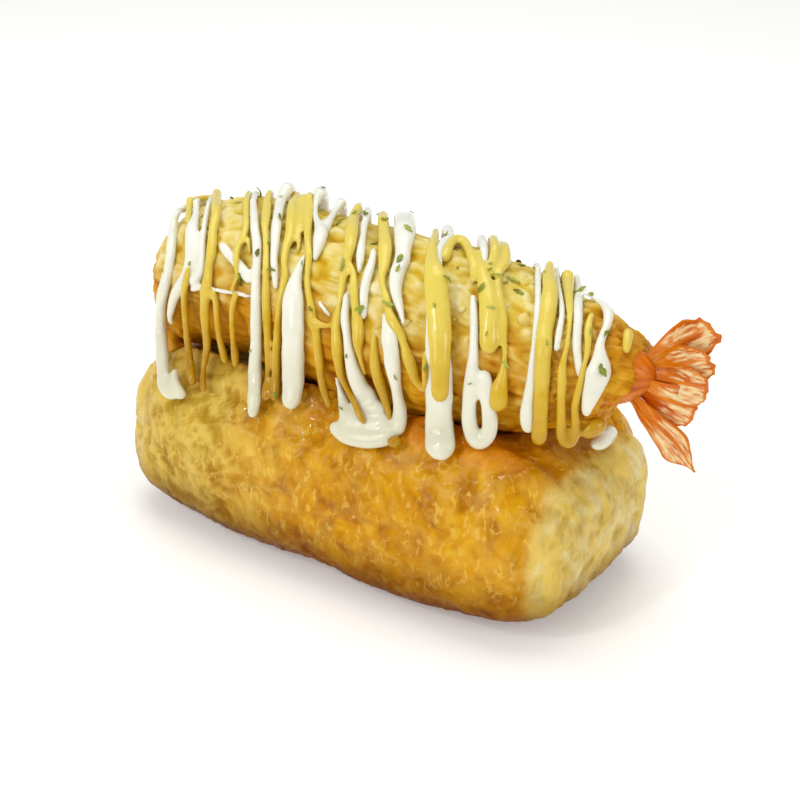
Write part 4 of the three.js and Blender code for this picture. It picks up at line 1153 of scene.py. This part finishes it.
def shellSegment():  # points, faces, share of rib and of web at each point, and where its fibres are read
    rows, around = tail["shellCells"]
    share = np.linspace(0, 1, rows + 1)[:, None]
    turn = np.linspace(0, 2 * math.pi, around, endpoint=False)[None, :]
    x = mix(tail["headX"], tail["tailX"], share) + 0 * turn
    reach = mix(tail["headRadius"], tail["tailRadius"], share)
    closing = np.maximum(1 - np.maximum(share * 1.02 - 0.42, 0) ** 2 / 0.36, 0) ** 0.6
    plate = tail["plate"] * smoothstep(share, *tail["plateFrom"]) * (1 - smoothstep(share, *tail["plateTo"]))
    keel = tail["keel"] * np.exp(-((turn - math.pi / 2) / tail["keelWidth"]) ** 2)
    ring = [5.5 * side + 9 + 0 * x for side in (np.cos(turn), np.sin(turn))]
    fibres = tail["fibre"] * (lumps(x / 4 + 5, *ring) - 0.5)
    radius = (reach + plate + keel + fibres) * closing
    axis = coatAxis(x) + tail["rise"] * smoothstep(x, 24, tail["tailX"])
    points = np.stack([x, radius * np.cos(turn), axis + radius * np.sin(turn)], -1).reshape(-1, 3)
    index = np.arange((rows + 1) * around).reshape(rows + 1, around)
    faces = list(gridQuads(closedRound(index))) + [list(index[0][::-1]), list(index[-1])]
    grain = np.stack([x * tail["grain"], 3.2 * np.cos(turn) + 0 * x, 3.2 * np.sin(turn) + 0 * x], -1)
    return points, faces, np.zeros(len(points)), np.zeros(len(points)), grain.reshape(-1, 3)


def finBlade(fin):
    rootX, rootY, rootZ, angle, length, halfWidth, tip, lean = fin
    rows, across = tail["cells"]
    u = np.linspace(0, 1, rows + 1)[:, None]
    v = np.linspace(-1, 1, across + 1)[None, :]
    opening = np.sin(np.minimum(1, u * 0.98 + 0.14) * math.pi / 2)
    width = halfWidth * opening * (1 - (1 - tip) * smoothstep(u, 0.7, 1))
    ragged = tail["ragged"] * (lumps(u * length / tail["raggedSize"], v * 0 + angle, v * 0 + 3) - 0.5)
    ragged = ragged * smoothstep(u, 0.3, 0.9)
    bites = lumps(v * 3 + angle, u * 0, u * 0) - 0.5
    notch = smoothstep(u, 0.85, 1) * (tail["tipRound"] * v * v + tail["tipNotch"] * bites)
    ribPlace = np.abs(v)
    middleRib = tail["middleRib"] * np.exp(-(((v - 0.25 * u) / 0.1) ** 2)) * (1 - 0.7 * smoothstep(u, 0.6, 1))
    edgeRib = tail["edgeRib"] * smoothstep(ribPlace, 0.82, 0.98) + tail["tipRib"] * smoothstep(u, 0.93, 0.99)
    fineRibs = 0.5 + 0.5 * np.cos(v * tail["fineRibPace"] + 2.5 * u + angle)
    fineRibs = tail["fineRib"] * fineRibs ** 4 * smoothstep(u, 0.15, 0.4)
    rib = np.clip(middleRib + edgeRib + fineRibs, 0, 1)
    web = np.clip((1 - rib) * smoothstep(u, 0.15, 0.6), 0, 1)
    ripple = tail["twist"] * np.sin(u * 7 + angle) * v + tail["wave"] * np.cos(u * 5 + angle)
    size = tail["crinkleSize"]
    ripple = ripple + tail["crinkle"] * (lumps(u * length / size + angle, v * width / size, v * 0) - 0.5)
    thick = tail["bladeThickness"] / 2 * (0.45 + 0.9 * rib) * (1 - 0.55 * ribPlace ** 3)
    thick = thick * (1 - 0.5 * smoothstep(u, 0.7, 1))
    x = u * length - notch + 0 * v
    z = v * (width + ragged)
    lean, angle = math.radians(lean), math.radians(angle)
    sides = []
    for side in (1, -1):
        y = ripple + side * thick
        leanY, leanZ = y * math.cos(lean) - z * math.sin(lean), y * math.sin(lean) + z * math.cos(lean)
        turnX = x * math.cos(angle) - leanZ * math.sin(angle)
        turnZ = x * math.sin(angle) + leanZ * math.cos(angle)
        sides.append(np.stack([turnX + rootX, leanY + rootY, turnZ + rootZ], -1).reshape(-1, 3))
    index = np.arange((rows + 1) * (across + 1)).reshape(rows + 1, across + 1)
    grain = np.stack([u * length * tail["grain"] + angle * 9 + 0 * v, v * width, 0 * v * width], -1)
    return (np.concatenate(sides), sheetFaces(index), np.tile(rib.reshape(-1), 2),
            np.tile(web.reshape(-1), 2), np.tile(grain.reshape(-1, 3), (2, 1)))


def buildTail():
    forms = [shellSegment()] + [finBlade(fin) for fin in fins]
    faces, start = [], 0
    for form in forms:
        faces += [[int(k) + start for k in face] for face in form[1]]
        start += len(form[0])
    points, _, ribs, webs, grains = zip(*forms)
    piece = meshObject("prawnTail", np.concatenate(points), faces)
    for label, values in (("rib", ribs), ("web", webs), ("grain", grains)):
        storeOnPoints(piece.data, label, np.concatenate(values))
    piece.data.materials.append(prawnMaterial())
    print("prawnTail", len(piece.data.polygons), "faces")
    return carried(piece, "prawn")


# Parsley flakes and batter crumbs

flakes = {
    "sizeRange": (0.6, 1.9),  # millimetres
    "sown": 45,  # more than the listed ones, on the crown and behind
    "seed": 11,
    "kindSeed": 3,
    "forms": 4,
    "cells": (6, 3),  # faces along and across a flake
    "halfThickness": 0.025,  # share of the length
    "lift": 0.12,  # millimetres above what a flake lies on
    "tilt": 0.6,  # how much flakes stand up at random
    "sownAlong": (-33, 36),
    "sownAngle": (-0.4, 1.5),  # radians from straight up towards the back
}
# Flakes that stand out in the photograph, in pixels of its 800 by 800 frame
seenFlakes = [
    (189, 197), (281, 197), (238, 203), (209, 228), (190, 264), (164, 270), (258, 253), (268, 241),
    (272, 271), (302, 263), (239, 279), (263, 323), (251, 351), (275, 395), (311, 309), (347, 356),
    (342, 408), (354, 213), (342, 265), (385, 220), (376, 244), (361, 311), (388, 303), (408, 229),
    (399, 259), (398, 269), (405, 320), (425, 368), (396, 377), (438, 228), (445, 235), (443, 262),
    (458, 268), (446, 280), (434, 306), (489, 269), (482, 288), (491, 308), (487, 334), (498, 275),
    (513, 280), (518, 293), (522, 266), (470, 383), (545, 272), (547, 342), (504, 365), (477, 411),
    (590, 294), (590, 331), (606, 334), (603, 370), (548, 344), (637, 331), (650, 343),
]


crumbs = {
    "seed": 29,
    "kindSeed": 5,
    "forms": 4,
    "voxel": 0.3,
    "sunk": 0.2,  # share of the size that a crumb sits in the coat
    "jitter": 1.6,  # millimetres along the tail
    "spread": (0.85, 1.15),  # how much a lump's size can vary
    "flattening": (1, 0.8, 0.7),
    "unevenness": 0.9,  # share of its size over which a crumb's radius varies
    "relief": {
        "Ridge Height": 0.42 * mm,
        "Ridge Size": 3.0 * mm,
        "Bubble Height": 0.32 * mm,
        "Bubble Size": 1.2 * mm,
        "Grain Height": 0.08 * mm,
        "Grain Size": 0.6 * mm,
        "Sink": 0.38 * mm,
    },
    "sizeRange": (0.9, 2.4),  # millimetres
    # rows of lumps round the tail: along, how far out, first and last angle in degrees, number, size
    "collars": [
        (33.4, 4.9, 0, 340, 18, 5.2), (35.4, 4.9, -30, 210, 14, 4.9), (37.4, 4.5, 10, 170, 10, 4.2),
        (39.3, 3.9, 40, 150, 7, 3.2),
        (33.6, 6.1, 30, 150, 10, 4.6), (35.5, 5.5, 30, 150, 9, 4.4), (37.2, 4.9, 40, 140, 7, 3.8),
        (32.2, 7.4, 55, 125, 6, 4.0)],
    "lumps": [  # place and size, in millimetres, at the head end
        (-32.2, -8.0, 26.6, 3.4), (-31.0, -8.6, 26.0, 3.2), (-32.8, -7.4, 28.2, 2.8),
        (-33.2, -7.6, 24.8, 3.0), (-29.8, -9.4, 25.6, 2.8), (-31.8, -8.2, 24.4, 3.8),
        (-30.4, -8.6, 24.0, 3.6), (-33.2, -8.0, 23.2, 3.2)],
    # rectangles in the photograph's frame, in pixels, with how many crumbs each gets
    "patches": [(536, 335, 606, 430, 60), (600, 405, 622, 430, 16),
                (165, 300, 190, 350, 18), (400, 385, 480, 430, 24), (300, 385, 345, 405, 16),
                (345, 225, 560, 330, 40)],
}


def seeded(start):  # repeatable numbers from 0 to 1
    state = start
    while True:
        state = state * 16807 % 2147483647
        yield state / 2147483647


def leafChips():  # four torn leaf forms, each broader than the last, one unit long
    chips = []
    rows, across = flakes["cells"]
    for number in range(flakes["forms"]):
        points = []
        for k in range(rows + 1):
            u = k / rows
            width = 0.05 + (0.07 + 0.05 * number) * math.sin(u * math.pi)
            width *= 1 + 0.35 * math.sin(k * 2.6 + number * 1.7)
            bend = 0.07 * math.sin(u * math.pi * (0.8 + 0.3 * number)) * (-1) ** number
            for j in range(across + 1):
                v = 2 * j / across - 1
                side = v * width + 0.14 * math.sin(u * 2.4 + number)
                points.append((u - 0.5, side, bend + 0.04 * v * v + 0.02 * math.sin(7 * u + 3 * v)))
        points = np.array(points)
        thick = np.array([0, 0, flakes["halfThickness"]])
        index = np.arange(len(points)).reshape(rows + 1, across + 1)
        chips.append(meshObject("leafChip%d" % number, np.concatenate([points + thick, points - thick]),
                                sheetFaces(index.T)))
    return chips


def crumbForms():
    forms = []
    for number in range(crumbs["forms"]):
        bpy.ops.mesh.primitive_ico_sphere_add(subdivisions=2, radius=0.5 * mm)
        form = bpy.context.object
        heights = [0.25 + 0.6 * lumps(*(np.array(v.co) / mm * 4 + number)) for v in form.data.vertices]
        storeOnPoints(form.data, "crustHeight", heights)
        for vertex in form.data.vertices:
            p = np.array(vertex.co) / mm
            swell = 1 + crumbs["unevenness"] * (lumps(*(p * 3.1 + number * 5 + 9)) - 0.5)
            vertex.co = Vector(p * swell * crumbs["flattening"]) * mm
        form.data.shade_smooth()
        forms.append(form)
    return forms


def buildCrumbs(trees, material):
    random = seeded(crumbs["seed"])
    low, high = crumbs["sizeRange"]
    spots = []
    for x, y, z, size in crumbs["lumps"]:
        out = Vector((0.2, y - 4, z - coatAxis(x))).normalized()
        spots.append((Vector((x, y, z)) * mm, out, size, next(random) * fullTurn))
    for x, reach, start, end, number, size in crumbs["collars"]:
        for angle in np.radians(np.linspace(start, end, number)):
            along = x + crumbs["jitter"] * (next(random) - 0.5)
            out = Vector((0.3, math.cos(angle), math.sin(angle)))
            place = Vector((along, 1.06 * reach * out.y, coatAxis(along) + reach * out.z))
            spots.append((place * mm, out.normalized(), size * mix(*crumbs["spread"], next(random)),
                          next(random) * fullTurn))
    for left, top, right, bottom, number in crumbs["patches"]:
        for _ in range(number):
            hit = firstHit(*pixelRay(mix(left, right, next(random)), mix(top, bottom, next(random))), trees)
            if hit:
                size = mix(low, high, next(random) ** 2)
                place = hit[0] - hit[1] * crumbs["sunk"] * size * mm
                spots.append((place, hit[1], size, next(random) * fullTurn))
    loose = scatter("looseCrumbs", spots, crumbForms(), material, crumbs["kindSeed"])
    fuse(loose, crumbs["voxel"], material)
    addTree(loose, crustReliefTree(material), crumbs["relief"])
    return carried(settle(loose, "batterCrumbs"), "tempura_prawn")


def scatterTree(name, forms, material):
    tree, given = newTree(name, {"Seed": 1})
    group = bpy.data.collections.new(name)
    for form in forms:
        group.objects.link(form)
    turn = addNode(tree, "GeometryNodeInputNamedAttribute", {"data_type": "FLOAT_VECTOR", "Name": "turn"})
    size = addNode(tree, "GeometryNodeInputNamedAttribute", {"data_type": "FLOAT", "Name": "size"})
    rotation = addNode(tree, "FunctionNodeEulerToRotation", links={0: turn.outputs[0]})
    kinds = addNode(tree, "GeometryNodeCollectionInfo", {
        "Collection": group, "Separate Children": True, "Reset Children": True})
    kind = addNode(tree, "FunctionNodeRandomValue", {
        "data_type": "INT", "Min_002": 0, "Max_002": len(forms) - 1}, {"Seed": given["Seed"]})
    points = addNode(tree, "GeometryNodeMeshToPoints", links={"Mesh": given["Geometry"]})
    placed = addNode(tree, "GeometryNodeInstanceOnPoints", {"Pick Instance": True}, {
        "Points": points.outputs[0], "Instance": kinds.outputs[0], "Rotation": rotation.outputs[0],
        "Scale": size.outputs[0], "Instance Index": socketOf(kind.outputs, "Value_002")})
    endTree(tree, placed.outputs[0], material)
    return tree


def scatter(name, spots, forms, material, seed):  # spots are place, outward direction, size and spin
    mesh = bpy.data.meshes.new(name + "Spots")
    mesh.from_pydata([tuple(place) for place, *_ in spots], [], [])
    turns = []
    for _, out, _, spin in spots:
        turned = out.to_track_quat("Z", "Y").to_matrix() @ Matrix.Rotation(spin, 3, "Z")
        turns.append(list(turned.to_euler()))
    storeOnPoints(mesh, "turn", turns)
    storeOnPoints(mesh, "size", [size for *_, size, _ in spots])
    source = linkedObject(name + "Spots", mesh)
    addTree(source, scatterTree(name + "Scatter", forms, material), {"Seed": seed})
    piece = settle(source, name)
    for form in forms:
        bpy.data.objects.remove(form)
    return piece


def buildFlakes(trees):
    random = seeded(flakes["seed"])
    low, high = flakes["sizeRange"]
    spots = []
    for px, py in seenFlakes:
        hit = firstHit(*pixelRay(px, py), trees)
        if hit:
            tilt = Vector((next(random) - 0.5, next(random) - 0.5, next(random) - 0.5)) * flakes["tilt"]
            spots.append((hit[0] + hit[1] * flakes["lift"] * mm, (hit[1] + tilt).normalized(),
                          mix(low, high, next(random) ** 1.5), next(random) * fullTurn))
    for _ in range(flakes["sown"]):
        x = mix(*flakes["sownAlong"], next(random))
        angle = mix(*flakes["sownAngle"], next(random))
        aim = Vector((0, -math.sin(angle), -math.cos(angle)))
        hit = firstHit((Vector((x, 0, coatAxis(x))) - aim * 40) * mm, aim, trees)
        if hit:
            spots.append((hit[0] + hit[1] * flakes["lift"] * mm, hit[1], mix(low, high, next(random) ** 2),
                          next(random) * fullTurn))
    piece = scatter("parsleyFlakes", spots, leafChips(), parsleyMaterial(), flakes["kindSeed"])
    return carried(piece, "tempura_prawn")


# Assembly

buildStage()
batter = batterMaterial()
tofuPouch = buildPouch()
batterCoat = buildCoat(batter)
prawnTail = buildTail()
solids = [surfaceOf(tofuPouch), surfaceOf(batterCoat), surfaceOf(prawnTail)]
batterCrumbs = buildCrumbs(solids, batter)
print("pouch, coat and tail stand")
carriers = solids[:2] + [surfaceOf(batterCrumbs), curtain()]
mayonnaise = buildSauce("mayonnaise", mayonnaiseStrands, carriers, sauceMaterial("pipedMayonnaise"))
carriers.append(surfaceOf(mayonnaise))
mustardSauce = buildSauce("mustardSauce", mustardStrands, carriers, sauceMaterial("pipedMustardSauce"))
print("sauces are piped")
buildFlakes(solids + [surfaceOf(mayonnaise), surfaceOf(mustardSauce)])
print("parsley is strewn")
